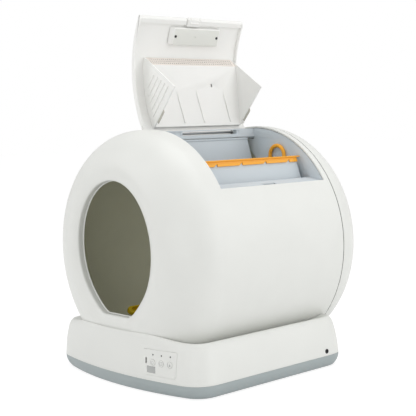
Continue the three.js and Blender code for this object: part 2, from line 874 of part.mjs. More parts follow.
function makeLid() {
  const startDeg = angleAt(drumRadius, lidLeft);
  const rimStartDeg = angleAt(drumRadius, beamRight + runGap + lidRimDepth);
  const edgeDeg = THREE.MathUtils.radToDeg(lidEdgeWidth / drumRadius);
  let shell = lidBand(drumRadius, lidInner, startDeg, lidEndDeg, lidFront, lidRear);
  const rimInner = lidInner - lidRimDepth;
  const skinInside = lidInner + lidThickness / 2;
  shell = shell
    .add(lidBand(skinInside, rimInner, rimStartDeg, lidEndDeg, lidFront, lidFront + lidRimWidth))
    .add(lidBand(skinInside, rimInner, rimStartDeg, lidEndDeg, lidRear - lidRimWidth, lidRear))
    .add(lidBand(skinInside - seatGap, lidInner - lidEdgeDepth, lidEndDeg - edgeDeg, lidEndDeg,
      lidFront, lidRear, 2));
  const topZ = onDrum(skinInside, angleAt(drumRadius, hingeX))[1];
  for (const y of [armFrontY, armRearY]) {
    const arm = prismY(
      [
        [hingeX - eyeRadius, hingeZ],
        [hingeX + eyeRadius, hingeZ],
        [hingeX + eyeRadius, topZ],
        [hingeX - 2 * eyeRadius, topZ - lidThickness / 2],
      ],
      y,
      y + armWidth,
    );
    shell = shell.add(arm).add(rodY(hingeX, hingeZ, eyeRadius, y, y + armWidth))
      .subtract(rodY(hingeX, hingeZ, pinRadius + seatGap, y - seatGap, y + armWidth + seatGap));
  }
  const slotY0 = latchY - latchWidth / 2 - seatGap;
  const slotY1 = latchY + latchWidth / 2 + seatGap;
  const room = block(drumRadius / 2, drumRadius, slotY0, slotY1, drumAxisZ, drumAxisZ + drumRadius);
  const slotBand = lidBand(lidInner - seatGap, rimInner - lidThickness,
    lidEndDeg - edgeDeg - latchSlotBeforeDeg, lidEndDeg + latchSlotBeyondDeg, slotY0, slotY1, 3);
  const ledgeSlope = (ledgeInnerZ - ledgeOuterZ) / (ledgeOuterX - troughRight);
  const ledgeTop = (x) => ledgeInnerZ - (x - troughRight) * ledgeSlope + seatGap;
  const ledgeRoom = prismY(
    [
      [troughRight, ledgeTop(troughRight)],
      [troughRight, ledgeOuterZ - overrun],
      [drumRadius, ledgeOuterZ - overrun],
      [drumRadius, ledgeTop(drumRadius)],
    ],
    lidFront - overrun,
    lidRear + overrun,
  );
  return shell.subtract(slotBand.intersect(room)).subtract(ledgeRoom);
}

function chuteWallOutline() {
  const skinRadius = lidInner - seatGap;
  const highDeg = angleAt(skinRadius, chuteHighX);
  const lowDeg = angleAt(skinRadius, chuteLowX);
  return [
    [chuteHighX, chuteHighZ],
    [chuteTipX, chuteTipZ],
    [chuteLowX, chuteLowZ],
    ...drumArc(skinRadius, lowDeg, highDeg, lidSteps),
  ];
}

function makeChute() {
  const high = onDrum(lidInner - seatGap, angleAt(lidInner - seatGap, chuteHighX));
  const plate = [
    [chuteHighX, chuteHighZ],
    [ventX, ventZ],
    [chuteLowX, chuteLowZ],
    [chuteLowX, chuteLowZ + chuteWall],
    [ventX, ventZ + chuteWall],
    [chuteHighX - chuteWall, high[1]],
    high,
  ];
  let chute = prismY(chuteWallOutline(), chuteFront, chuteFront + chuteWall)
    .add(prismY(chuteWallOutline(), chuteRear - chuteWall, chuteRear))
    .add(prismY(plate, chuteFront, chuteRear));
  const edge = [chuteTipX - chuteLowX, chuteTipZ - chuteLowZ];
  const edgeLength = Math.hypot(...edge);
  const dir = edge.map((value) => value / edgeLength);
  const side = [-dir[1], dir[0]];
  for (let i = 0; i < ribCount; i += 1) {
    const step = ((i + 1) * (chuteHighX - chuteTipX)) / (ribCount + 2);
    const start = [chuteLowX + step + 2 * ribWidth, chuteLowZ - step / 4 - 2 * ribWidth];
    const run = edgeLength * (ribRunShare - (ribTaperShare * (i + 1)) / (ribCount + 2));
    const corner = (along, across) => [
      start[0] + dir[0] * along + side[0] * across,
      start[1] + dir[1] * along + side[1] * across,
    ];
    chute = chute.add(prismY([corner(0, 0), corner(run, 0), corner(run, ribWidth), corner(0, ribWidth)],
      chuteFront - ribHeight, chuteFront + chuteWall / 2));
  }
  return chute;
}

// A soft strip on the chute's free edge, next to the flap
function makeChuteSeal(y0, y1) {
  const from = sealShares[1];
  const to = sealShares[0];
  const at = (share, drop) => [
    chuteTipX + (chuteLowX - chuteTipX) * share - drop,
    chuteTipZ + (chuteLowZ - chuteTipZ) * share,
  ];
  return prismY([at(to, seatGap), at(from, seatGap), at(from, sealDrop), at(to, sealDrop)], y0, y1);
}

// Filter box under the lid, and what it holds
const filterBaseRadius = lidInner - seatGap;
const filterFaceRadius = filterBaseRadius - filterDepth;

function filterForm(inset) {
  const rings = [];
  const levels = [
    [filterBaseRadius + (inset ? overrun : 0), filterBaseLength],
    [filterFaceRadius + inset, filterFaceLength],
  ];
  for (const [radius, length] of levels) {
    const chamfer = (filterBaseLength - length) / 8;
    const insetDeg = THREE.MathUtils.radToDeg((inset + chamfer / 2) / drumRadius);
    const ends = [
      [filterLowDeg + insetDeg, 1],
      [filterHighDeg - insetDeg, 1 - chamfer / filterBaseLength],
    ];
    const ring = [];
    for (const [degrees, share] of ends) {
      const [x, z] = onDrum(radius, degrees);
      const half = (length / 2) * share - inset;
      ring.push([[x, filterY - half, z], [x, filterY + half, z]]);
    }
    rings.push([ring[0][0], ring[0][1], ring[1][1], ring[1][0]]);
  }
  return skin(rings, false);
}

const filterMidDeg = (filterLowDeg + filterHighDeg) / 2;

function atFilter(y, fromRadius, toRadius, radius, sides = 16) {
  const rod = new THREE.CylinderGeometry(radius, radius, toRadius - fromRadius, sides);
  rod.translate(0, (fromRadius + toRadius) / 2, 0);
  rod.rotateX(Math.PI / 2);
  rod.rotateY(rad(filterMidDeg));
  rod.translate(0, y, drumAxisZ);
  return solid(rod);
}

function makeFilterCover() {
  let cover = filterForm(0).subtract(filterForm(filterWall));
  for (const side of [-1, 1]) {
    const y = filterY + (side * filterScrewSpan) / 2;
    const post = filterScrewRadius + filterWall;
    cover = cover.add(atFilter(y, filterFaceRadius + filterWall / 2, filterBaseRadius, post))
      .subtract(atFilter(y, filterFaceRadius - overrun, filterBaseRadius + overrun, screwRadius + seatGap));
  }
  return cover;
}

function makeFilterScrew(y) {
  const head = filterFaceRadius * Math.cos(rad(filterHighDeg - filterLowDeg) / 2) - seatGap;
  return atFilter(y, head - screwHeadHeight / 2, head, filterScrewRadius)
    .add(atFilter(y, head - screwHeadHeight / 4, filterBaseRadius - seatGap, screwRadius));
}

function makeCarbonFilter() {
  const half = filterScrewSpan / 2 - filterScrewRadius - 2 * filterWall;
  return lidBand(filterBaseRadius - seatGap, filterFaceRadius + filterWall + seatGap,
    filterLowDeg + filterMarginDeg, filterHighDeg - filterMarginDeg, filterY - half, filterY + half, 2);
}

// Latch that slides in the lid's free edge
const latchRadius = lidInner - seatGap;

function makeLatch() {
  const edge = onDrum(latchRadius, lidEndDeg);
  const along = [Math.cos(rad(lidEndDeg)), -Math.sin(rad(lidEndDeg))];
  const inward = [-Math.sin(rad(lidEndDeg)), -Math.cos(rad(lidEndDeg))];
  const at = (run, depth) => [
    edge[0] + along[0] * run + inward[0] * depth,
    edge[1] + along[1] * run + inward[1] * depth,
  ];
  const back = -latchLength + latchHook;
  const body = prismY(
    [
      at(back, runGap),
      at(back, latchDepth),
      at(-runGap, latchDepth),
      at(latchHook, latchDepth / 2),
      at(latchHook, runGap + latchDepth / 4),
      at(0, runGap),
    ],
    latchY - latchWidth / 2,
    latchY + latchWidth / 2,
  );
  const grip = prismY(
    [
      at(back + latchHook, latchDepth),
      at(back + 2 * latchHook, latchDepth + latchHook / 2),
      at(back + 3 * latchHook, latchDepth),
      at(back + 2 * latchHook, latchDepth / 2),
    ],
    latchY - latchWidth / 3,
    latchY + latchWidth / 3,
  );
  return body.add(grip);
}

// Rake, modelled pointing straight down and then turned to where it is parked
const rakeTurn = new THREE.Group();
rakeTurn.position.set(0, 0, drumAxisZ);
rakeTurn.rotation.y = rad(rakeRestDeg);
part.add(rakeTurn);
const rakeFrame = new THREE.Group();
rakeFrame.position.set(0, 0, -drumAxisZ);
rakeTurn.add(rakeFrame);

function makeRake() {
  const barTop = drumAxisZ - rakeBarInner;
  const barBottom = barTop - rakeBarDepth;
  const round = rakeBarDepth / 3;
  const half = rakeBarWidth / 2;
  const barOutline = [
    [-half, barBottom],
    [half, barBottom],
    [half, barTop - round],
    [half - round, barTop],
    [-half + round, barTop],
    [-half, barTop - round],
  ];
  const barRearY = rakeRear + armThickness;
  let rake = prismY(barOutline, rakeFront, barRearY);
  const pitch = (rakeRear - rakeFront - tineWidth) / (tineCount - 1);
  for (let i = 0; i < tineCount; i += 1) {
    const y = rakeFront + i * pitch;
    rake = rake.add(prismY(
      [
        [-tineThickness / 2, barTop - rakeBarDepth / 2],
        [-tineThickness, drumAxisZ - rakeTip],
        [tineThickness / 2, drumAxisZ - rakeTip],
        [tineThickness, barTop - rakeBarDepth / 2],
      ],
      y,
      y + tineWidth,
    ));
  }
  const arm = prismY(
    [
      [-hubRadius, drumAxisZ],
      [-armHalfWidth, barBottom],
      [armHalfWidth, barBottom],
      [hubRadius, drumAxisZ],
    ],
    rakeRear,
    barRearY,
  );
  return rake
    .add(arm)
    .add(rodY(0, drumAxisZ, hubRadius, rakeRear, barRearY))
    .add(rodY(0, drumAxisZ, panHole - seatGap, rakeRear, hubRear + panWall))
    .subtract(rodY(0, drumAxisZ, shaftRadius + seatGap, rakeRear + armThickness / 4, hubRear + overrun));
}

// Gear wheels with straight-sided teeth
function gearOutline(teeth, x, z, phaseShare) {
  const pitchRadius = (teeth * gearModule) / 2;
  const tip = pitchRadius + gearModule * toothHeightShare;
  const root = pitchRadius - gearModule * toothDepthShare;
  const points = [];
  for (let i = 0; i < teeth; i += 1) {
    const corners = [
      [root, -toothRootShare],
      [tip, -toothTipShare],
      [tip, toothTipShare],
      [root, toothRootShare],
    ];
    for (const [radius, share] of corners) {
      const turn = (fullTurn * (i + phaseShare + share)) / teeth - Math.PI / 2;
      points.push([x + radius * Math.cos(turn), z + radius * Math.sin(turn)]);
    }
  }
  return points;
}

const pinionDrop = ((gearTeeth + pinionTeeth) * gearModule) / 2;
const motorZ = drumAxisZ - pinionDrop;
const gearRear = gearFront + gearWidth;
const bracketFront = gearRear + runGap;
const bracketRear = bracketFront + bracketThickness;

function makeBracket() {
  const foot = bulkheadFront + bulkheadThickness + seatGap;
  const pinionRoom = pinionTeeth * gearModule / 2 + gearModule + runGap;
  const low = motorZ - bracketHalfWidth;
  const high = motorZ + pinionRoom / 2;
  return block(-bracketHalfWidth, bracketHalfWidth, bracketFront, bracketRear, low, high)
    .add(block(-bracketHalfWidth, -bracketHalfWidth + bracketThickness, foot, bracketRear, low, high))
    .add(block(bracketHalfWidth - bracketThickness, bracketHalfWidth, foot, bracketRear, low, high))
    .add(block(-bracketHalfWidth, bracketHalfWidth, foot, foot + bracketThickness,
      low, low + 3 * bracketThickness))
    .subtract(rodY(0, motorZ, motorShaftRadius + runGap, foot - overrun, bracketRear + overrun));
}

function makeMotor() {
  const front = bracketRear + seatGap;
  return rodY(0, motorZ, motorRadius, front, front + motorLength, 32)
    .add(rodY(0, motorZ, motorRadius / 3, front + motorLength - overrun / 4,
      front + motorLength + motorShaftRadius));
}

// Base outline from above, leaning in from the seam's width by lean and set in by depth
function basePlan(lean, depth, frontShare) {
  const half = baseWidth / 2 - lean - depth;
  const front = baseFront + lean * frontShare + depth;
  const bow = frontBow + lean * (1 - frontShare);
  const rear = baseRear - lean - depth;
  const sharpen = Math.min(lean, baseCorner / 2);
  const frontAt = (x) => front + bow * (x / half) ** 2;
  const rearAt = (x) => rear - rearBow * (x / half) ** 2;
  const corner = baseCorner - sharpen;
  const rearCorner = baseRearCorner - sharpen;
  const frontHalf = half - corner;
  const rearHalf = half - rearCorner;
  const right = [];
  for (let i = 0; i <= planSteps; i += 1) {
    const x = (frontHalf * i) / planSteps;
    right.push([x, frontAt(x)]);
  }
  const frontEnd = [half, frontAt(half) + corner];
  const rearStart = [half, rearAt(half) - rearCorner];
  right.push(...bezier([frontHalf, frontAt(frontHalf)], [half, frontAt(half)], frontEnd, planCornerSteps));
  right.push(frontEnd, rearStart);
  right.push(...bezier(rearStart, [half, rearAt(half)], [rearHalf, rearAt(rearHalf)], planCornerSteps));
  for (let i = 0; i <= planRearSteps; i += 1) {
    const x = rearHalf * (1 - i / planRearSteps);
    right.push([x, rearAt(x)]);
  }
  const left = right.slice(1, -1).reverse().map(([x, y]) => [-x, y]);
  return [...right, ...left];
}

// Height of the rim over each point of the outline: it rises before the drum's face
const rimHeights = basePlan(0, 0, wallFrontShare).map(([x, y]) => {
  const across = Math.abs(x) / (baseWidth / 2);
  const rise = 1 - THREE.MathUtils.smoothstep(across, ...rimRiseShares);
  return sideRimZ + (y < 0 ? frontRimRise * rise : 0);
});

const coverLow = seamZ + seatGap;

// The cover's outer form, filled, at a depth inside its surface
function coverForm(depth, low = coverLow) {
  const ring = (lean, place, frontShare = wallFrontShare) => basePlan(lean, depth, frontShare)
    .map(([x, y], i) => [x, y, place(rimHeights[i])]);
  const rings = wallShares.map(([leanShare, riseShare]) => ring(rimLean * leanShare,
    (rim) => coverLow + (rim - depth - coverLow) * riseShare));
  if (low < coverLow) {
    rings.unshift(ring(0, () => low));
  }
  rings.push(ring(rimInnerLean, (rim) => rim - rimDish - depth, rimInnerShare));
  return skin(rings, false);
}

function coverBand(shift, depth) {
  return coverForm(shift).subtract(coverForm(depth, coverLow - overrun));
}

const panelMidX = (panelLeft + panelRight) / 2;
const panelMidZ = (panelLow + panelHigh) / 2;

function panelPrism(grow, y0, y1) {
  const halfWidth = (panelRight - panelLeft) / 2 + grow;
  const halfHeight = (panelHigh - panelLow) / 2 + grow;
  const points = [];
  for (const [sx, sz, start] of [[1, 1, 0], [-1, 1, 90], [-1, -1, 180], [1, -1, 270]]) {
    for (let i = 0; i <= 3; i += 1) {
      const turn = rad(start + 30 * i);
      points.push([
        panelMidX + sx * (halfWidth - panelCorner) + panelCorner * Math.cos(turn),
        panelMidZ + sz * (halfHeight - panelCorner) + panelCorner * Math.sin(turn),
      ]);
    }
  }
  return prismY(points, y0, y1);
}

// Where the front wall stands at a place of the panel
function wallY(x, z) {
  const share = (z - coverLow) / (sideRimZ - coverLow);
  const lean = (rimLean * wallShares[2][0] * share) / wallShares[2][1];
  const bow = frontBow + lean * (1 - wallFrontShare);
  return baseFront + lean * wallFrontShare + bow * (x / (baseWidth / 2 - lean)) ** 2;
}

const keyPlaces = [0, 1, 2].map((i) => keyFirstX + i * keyPitch);
const panelBack = baseFront + frontBow + overrun;

function panelHoles(extra) {
  let holes = block(windowX - windowWidth / 2 - extra, windowX + windowWidth / 2 + extra,
    baseFront - overrun, panelBack, windowZ - windowHeight / 2 - extra, windowZ + windowHeight / 2 + extra);
  holes = holes.add(block(speakerX - speakerWidth / 2, speakerX + speakerWidth / 2,
    baseFront - overrun, panelBack, keyZ - speakerHeight / 2, keyZ + speakerHeight / 2));
  for (const x of keyPlaces) {
    holes = holes.add(rodY(x, keyZ, keyRadius + extra, baseFront - overrun, panelBack));
    holes = holes.add(rodY(x, lampZ, lampRadius + extra, baseFront - overrun, panelBack, 16));
  }
  return holes;
}

const boardY = baseFront + frontBow + seatGap;

function socketRod(radius, from, to, sides = 12) {
  return rodX(socketY, socketZ, radius, from, to, sides);
}

const socketFace = baseWidth / 2 - baseWall / 2;

function makeBaseCover() {
  const recess = coverBand(-overrun, panelThickness + seatGap)
    .intersect(panelPrism(seatGap, baseFront - overrun, panelBack));
  let cover = coverBand(0, baseWall);
  const inside = coverForm(baseWall / 2);
  const postZ = panelLow + boardMargin + boardPost;
  for (const x of [-bossX, bossX]) {
    for (const y of [bossFront, bossRear]) {
      cover = cover.add(rodZ(x, y, bossRadius, coverLow, sideRimZ).intersect(inside));
    }
  }
  for (const x of [panelLeft + boardMargin + boardPost, panelRight - boardMargin - boardPost]) {
    cover = cover.add(rodY(x, postZ, boardPost, wallY(x, postZ) + baseWall / 2, boardY - seatGap, 8));
  }
  const collarRadius = socketRadius + baseWall;
  cover = cover.add(socketRod(collarRadius, socketFace - 2 * baseWall, socketFace - baseWall / 2));
  cover = cover
    .subtract(drumEnvelope(seatGap))
    .subtract(recess)
    .subtract(panelHoles(seatGap))
    .subtract(socketRod(socketRadius + seatGap, socketFace - overrun, socketFace + overrun));
  for (const x of [-bossX, bossX]) {
    for (const y of [bossFront, bossRear]) {
      cover = cover.subtract(rodZ(x, y, screwRadius + seatGap, coverLow - overrun,
        trayBottom + screwLength + seatGap, 16));
    }
  }
  return cover;
}

function makePanel() {
  return coverBand(-panelProud, panelThickness)
    .intersect(panelPrism(0, baseFront - overrun, panelBack))
    .subtract(panelHoles(seatGap));
}

function makeKey(x) {
  const front = wallY(x, keyZ) - panelProud - keyProud;
  const flangeFront = wallY(x + keyRadius + keyFlange, keyZ + keyRadius + keyFlange) + baseWall + seatGap;
  return rodY(x, keyZ, keyRadius, front, front + keyLength)
    .add(rodY(x, keyZ, keyRadius + keyFlange, flangeFront, flangeFront + keyFlange));
}

function makeLamp(x) {
  const front = wallY(x, lampZ) - panelProud - keyProud / 2;
  return rodY(x, lampZ, lampRadius, front, front + lampLength, 16);
}

function makeWindow() {
  const front = wallY(windowX, windowZ) - panelProud;
  return block(windowX - windowWidth / 2, windowX + windowWidth / 2,
    front, front + panelThickness + baseWall, windowZ - windowHeight / 2, windowZ + windowHeight / 2);
}

function makeSocket() {
  return socketRod(socketRadius, socketFace - socketLength, socketFace)
    .add(socketRod(socketRadius + socketFlange, socketFace - socketLength - socketFlange,
      socketFace - socketLength + socketFlange))
    .subtract(socketRod(socketBore, socketFace - socketLength + socketFlange, socketFace + overrun, 16));
}

// Tray: the grey lower shell, with the cradle ribs that carry the drum
function trayForm(depth, low, high) {
  const plan = (lean) => basePlan(lean, depth, trayFrontShare);
  const rings = trayShares.map(([leanShare, riseShare]) => plan(trayLean * leanShare)
    .map(([x, y]) => [x, y, low + (seamZ - low) * riseShare]));
  if (high > seamZ) {
    rings.push(plan(0).map(([x, y]) => [x, y, high]));
  }
  return skin(rings, false);
}

function makeTray() {
  const floor = trayBottom + baseWall;
  const outer = trayForm(0, trayBottom, seamZ);
  const inner = trayForm(baseWall, floor, seamZ + overrun);
  let tray = outer.subtract(inner);
  for (const y of [cradleFront, cradleRear]) {
    for (const side of [-1, 1]) {
      const ends = [side * cradleInner, side * cradleOuter];
      const rib = block(Math.min(...ends), Math.max(...ends), y, y + cradleThickness,
        floor - baseWall / 2, cradleTop);
      tray = tray.add(rib);
    }
  }
  for (const x of [-bossX, bossX]) {
    for (const y of [bossFront, bossRear]) {
      tray = tray.add(rodZ(x, y, bossRadius, floor - baseWall / 2, seamZ));
    }
  }
  tray = tray.subtract(drumEnvelope(seatGap));
  for (const x of [-bossX, bossX]) {
    for (const y of [bossFront, bossRear]) {
      tray = tray.subtract(rodZ(x, y, screwRadius + seatGap, trayBottom - overrun, seamZ + overrun, 16));
      tray = tray.subtract(rodZ(x, y, screwHead + seatGap, trayBottom - overrun,
        trayBottom + screwHeadHeight + seatGap, 16));
    }
  }
  for (const x of [-footX, footX]) {
    for (const y of [footFront, footRear]) {
      tray = tray.subtract(rodZ(x, y, footStem + seatGap, trayBottom - overrun, floor + overrun));
    }
  }
  return tray;
}

// A pin that reaches from one end wall of the bay to the other
function acrossBay(x, z, radius) {
  return rodY(x, z, radius, bayFront - bayWall, bayRear + bayWall, 16);
}

// The pieces, each in its own mesh
piece("drum_shell", makeDrumShell(), white);
piece("rear_cover", makeRearCover(), white);
piece("rear_bulkhead", makeBulkhead(), grey);
piece("litter_pan", makePan(), panGrey);
piece("waste_bay", makeBay(), bayGrey);
piece("waste_flap", makeFlap(), bayGrey);
piece("flap_pin", acrossBay(flapPivotX, flapPivotZ, flapPinRadius), steel);
piece("waste_bin", makeBin(), bayGrey);
piece("comb_bar", makeCombBar(), orange);
piece("bin_handle_rear", makeHandle(rearHandleY), orange);
piece("bin_handle_front", makeHandle(frontHandleY), orange);
piece("lid_pin", acrossBay(hingeX, hingeZ, pinRadius), steel);
piece("lid_shell", makeLid(), lidWhite, lid);
piece("lid_chute", makeChute(), lidWhite, lid);
piece("chute_seal_front", makeChuteSeal(chuteFront, chuteFront + chuteWall), rubber, lid);
piece("chute_seal_rear", makeChuteSeal(chuteRear - chuteWall, chuteRear), rubber, lid);
piece("filter_cover", makeFilterCover(), lidWhite, lid);
piece("carbon_filter", makeCarbonFilter(), carbon, lid);
for (const [name, side] of [["filter_screw_front", -1], ["filter_screw_rear", 1]]) {
  piece(name, makeFilterScrew(filterY + (side * filterScrewSpan) / 2), steel, lid);
}
piece("lid_latch", makeLatch(), lidWhite, lid);
piece("rake", makeRake(), orange, rakeFrame);
piece("drive_shaft", rodY(0, drumAxisZ, shaftRadius, rakeRear + armThickness / 2, shaftRear), steel);
piece(
  "shaft_bearing",
  rodY(0, drumAxisZ, bearingRadius, bulkheadFront, bulkheadBossRear)
    .subtract(rodY(0, drumAxisZ, shaftRadius + seatGap,
      bulkheadFront - overrun, bulkheadBossRear + overrun)),
  brass,
);
piece(
  "drive_gear",
  prismY(gearOutline(gearTeeth, 0, drumAxisZ, 0), gearFront, gearRear)
    .subtract(rodY(0, drumAxisZ, shaftRadius + seatGap, gearFront - overrun, gearRear + overrun)),
  darkPlastic,
);
piece(
  "pinion",
  prismY(gearOutline(pinionTeeth, 0, motorZ, toothGapShare), gearFront, gearRear)
    .add(rodY(0, motorZ, motorShaftRadius, gearFront, bracketRear)),
  brass,
);
piece("motor_bracket", makeBracket(), steel);
piece("gearmotor", makeMotor(), darkPlastic);
coverScrewPlaces().forEach(([x, z], i) => {
  const tail = bulkheadFront;
  const body = rodY(x, z, screwRadius, tail, drumRear - screwHeadHeight / 2, 16)
    .add(rodY(x, z, screwHead, drumRear - screwHeadHeight, drumRear - seatGap, 16));
  piece(`cover_screw_${i + 1}`, body, steel);
});

piece("base_tray", makeTray(), grey);
piece("base_cover", makeBaseCover(), white);
piece("control_panel", makePanel(), white);
["power_key", "clean_key", "lock_key"].forEach((name, i) => {
  piece(name, makeKey(keyPlaces[i]), white);
  piece(`status_light_${i + 1}`, makeLamp(keyPlaces[i]), darkPlastic);
});
piece("panel_window", makeWindow(), darkPlastic);
piece(
  "control_board",
  block(panelLeft + boardMargin, panelRight - boardMargin, boardY, boardY + boardThickness,
    panelLow + boardMargin, keyZ + boardMargin),
  boardGreen,
);
piece("power_socket", makeSocket(), darkPlastic);

const corners = [
  ["front_left", -1, 0],
  ["front_right", 1, 0],
  ["rear_left", -1, 1],
  ["rear_right", 1, 1],
];
for (const [place, side, atRear] of corners) {
  const y = atRear ? footRear : footFront;
  const x = side * footX;
  const floor = trayBottom + baseWall;
  const foot = rodZ(x, y, footRadius, 0, footHeight).add(rodZ(x, y, footStem, 0, floor));
  piece(`foot_${place}`, foot, rubber);
  const cell = block(x - cellLength / 2, x + cellLength / 2, y - cellWidth / 2, y + cellWidth / 2,
    floor + seatGap, floor + seatGap + cellHeight);
  piece(`load_cell_${place}`, cell, steel);
  const screwY = atRear ? bossRear : bossFront;
  const screw = rodZ(side * bossX, screwY, screwRadius, trayBottom, trayBottom + screwLength, 16)
    .add(rodZ(side * bossX, screwY, screwHead, trayBottom, trayBottom + screwHeadHeight, 16));
  piece(`base_screw_${place}`, screw, steel);
}

export default part;
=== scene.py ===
# Self cleaning litter box: its looks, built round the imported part.
# Lengths are in millimetres in the source's own frame; at() turns them to the row frame's metres.
import json
import math

import bpy
from mathutils import Matrix, Vector


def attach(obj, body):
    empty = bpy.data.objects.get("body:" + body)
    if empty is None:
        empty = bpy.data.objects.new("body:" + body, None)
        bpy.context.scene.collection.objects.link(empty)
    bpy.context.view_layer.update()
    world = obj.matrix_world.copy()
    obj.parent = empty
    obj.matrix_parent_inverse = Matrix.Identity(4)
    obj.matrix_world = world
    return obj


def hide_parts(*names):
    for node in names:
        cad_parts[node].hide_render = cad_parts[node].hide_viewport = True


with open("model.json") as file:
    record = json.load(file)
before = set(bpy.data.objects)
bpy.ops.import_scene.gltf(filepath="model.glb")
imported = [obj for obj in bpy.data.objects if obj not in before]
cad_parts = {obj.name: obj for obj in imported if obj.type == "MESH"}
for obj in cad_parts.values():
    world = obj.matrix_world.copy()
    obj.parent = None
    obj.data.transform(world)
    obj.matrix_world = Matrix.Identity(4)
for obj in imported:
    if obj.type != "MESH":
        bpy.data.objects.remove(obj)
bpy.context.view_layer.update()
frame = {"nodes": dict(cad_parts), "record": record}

MM = 0.001
SHIFT_Y = -3.8

# Gaps, reaches and side counts that many pieces share
SEAT_GAP = 0.3
RUN_GAP = 0.6
OVER = 20
LONG = 500
PIN_SIDES = 24
BORE_SIDES = 32
PART_SIDES = 40
RING_SIDES = 48
DISC_SIDES = 64
WELD_REACH = 2e-6
SMOOTH = 32
SMOOTH_WALL = 40
SMOOTH_TUBE = 50

# Rounded edges: width, segments and the least angle in degrees
EDGES = {
    "cover": (0.5, 2, 60),
    "foot": (0.3, 2, 60),
    "tine": (0.8, 2, 30),
    "rake_arm": (1.2, 3, 40),
    "rake_window": (4, 4, 30),
    "bay": (0.5, 2, 50),
    "flap": (0.4, 2, 50),
    "bin": (0.7, 3, 50),
    "bar": (0.45, 2, 40),
    "lid": (0.6, 2, 50),
    "chute": (0.4, 2, 50),
    "seal": (0.9, 3, 40),
    "filter": (2.2, 4, 30),
    "screw": (0.5, 3, 40),
    "latch": (0.7, 3, 40),
    "lid_pin": (0.5, 2, 40),
    "flap_pin": (0.4, 2, 40),
    "sound_slot": (1.8, 4, 30),
    "panel": (0.25, 2, 50),
    "key": (0.6, 3, 40),
    "status_light": (0.5, 3, 40),
    "window": (0.3, 2, 50),
    "socket": (0.5, 3, 50),
}

# Finishes, floor and sky
CLOUD_SCALE = 14
GLOSS_SPREAD = 0.06
GRAIN_HEIGHT = 0.00012
FLOOR_SIZE = 60
FLOOR_GLOW = 0.82
FLOOR_PALE = (0.3, 0.3, 0.3, 1)
FLOOR_PLAIN = (0.8, 0.8, 0.8, 1)
WORLD_LIGHT = 0.62

# Drum
DRUM_R = 260
DRUM_WALL = 3.2
AXIS_Z = 273.5
DRUM_FRONT = -260.7
FRONT_DOME = (126, 96)  # reach across and along Y
SEAM_Y = 183.2
DRUM_REAR = 273.1
REAR_DOME = (96.5, 88)  # reach across and along Y
DRUM_SIDES = 192
SEAM_GROOVE = 1.0
SEAM_CHAMFER = 0.6
FACE_RINGS = 12
DOME_DEGREES = range(45, 91, 3)
BARREL_SHARES = (0.1, 0.3, 0.5, 0.7, 0.9, 0.998)

# Rear cover: tongue from inner to outer radius and front to rear, flat pole, posts and screw holes
TONGUE = (253.4, 256.4, 179.8, 190)
# Painted shade in the seam: the tongue's faces beyond this radius and in front of this depth past the seam
# get a dark finish that stands for the shade in the gap
SEAM_SHADE_R = 255.7
SEAM_SHADE_Y = 0.2
POLE_R = 60
POST_R = 8
POST_Y = (226, 90)  # middle, length
HEAD_R = 4.8
HEAD_Y = (290, 40.6)  # middle, length
SCREW_R = 2.3
SCREW_Y = (230, 200)  # middle, length
SCREW_REACH = DRUM_R - REAR_DOME[0] - 12.5
SCREW_DEGREES = (45, 135, 225, 315)

# Entry
ENTRY_HALF = (131, 143.5)  # half width, half height
ENTRY_Z = 286.5
ENTRY_FLAT_Z = 145
ENTRY_FLAT_HALF = 40
ENTRY_TURN_DEG = 45
LIP = (40, 20)  # width, depth
THROAT = 26
# Rounded end of the throat: how far inside the edge, and short of the throat's depth
THROAT_END = ((0.9, 0), (1.2, 0.8), (1, 1.7), (0, 2.6))

# Top opening and lid
OPEN_FRONT = -135.2
OPEN_REAR = 167.5
OPEN_LEFT = -35
OPEN_DEG = 58.5
LID_LEFT = -31.5
LID_WALL = 3
LID_GAP = 0.6
HINGE = (-14, 522.2)  # x, z
LID_OPEN_DEG = 118
RIM_DEPTH = 7
RIM_WIDTH = 3
EDGE_WIDTH = 14
EDGE_DEPTH = 5.5
EDGE_STEPS = 8
EDGE_INSIDE = (0.3, 0.02, 0.4)  # inset in depth, in degrees and along Y
ARM_YS = (-75, 114)
ARM_WIDTH = 20
ARM_HALF = 6
PIN_WAY_R = 2.8
LEDGE_ROOM = (178, 388, 217)  # inner x, lowest z, x of the ledge's outer end

# Lid chute
CHUTE_FRONT = -106.5
CHUTE_REAR = 151.5
CHUTE_WALL = 2.5
CHUTE_HIGH = (154, 473.2)
CHUTE_TIP = (44, 416.2)
CHUTE_LOW = (6, 523.2)
VENT = (130, 465.2)
SIDE_RIBS = 5
SIDE_RIB_SPACES = 7
SIDE_RIB_SHIFT = 4.8
SIDE_RIB_WIDTH = 2.4
SIDE_RIB_SHARES = (0.86, 0.74)  # of the edge: the length at its start, and the loss over all spaces
# Floor ribs: start and slant along Y, then run down the floor and rise from it
FLOOR_RIBS = ((-20, -16), (38, -17), (118, -16))
FLOOR_RIB_WIDTH = 2.6
FLOOR_RIB_SECTION = ((6, -0.5), (8, 2), (72, 1.2), (84, -0.5))
FLOOR_HOLE = (92, 3.4, 66, 70)  # run down the floor, half width, y from and to
VENT_ROWS = (3, 4.5, 6.6, 3.6)  # count, inset, pitch, length
VENT_COLUMNS = (42, 8, 5.8, 2.6)  # count, first, pitch, width
VENT_CUT = (-6, 9)  # below and above the floor
VENT_STRIP = (2.5, 1)  # inset at its low and high end
VENT_TOP = CHUTE_HIGH[1] + 2
STRIP_NORMAL = 0.9

# Seals on the chute's free edges: shares of the edge outside and inside, and depth
SEAL_SHARES = (0.56, 0.87, 0.86, 0.57)
SEAL_DEPTH = 6

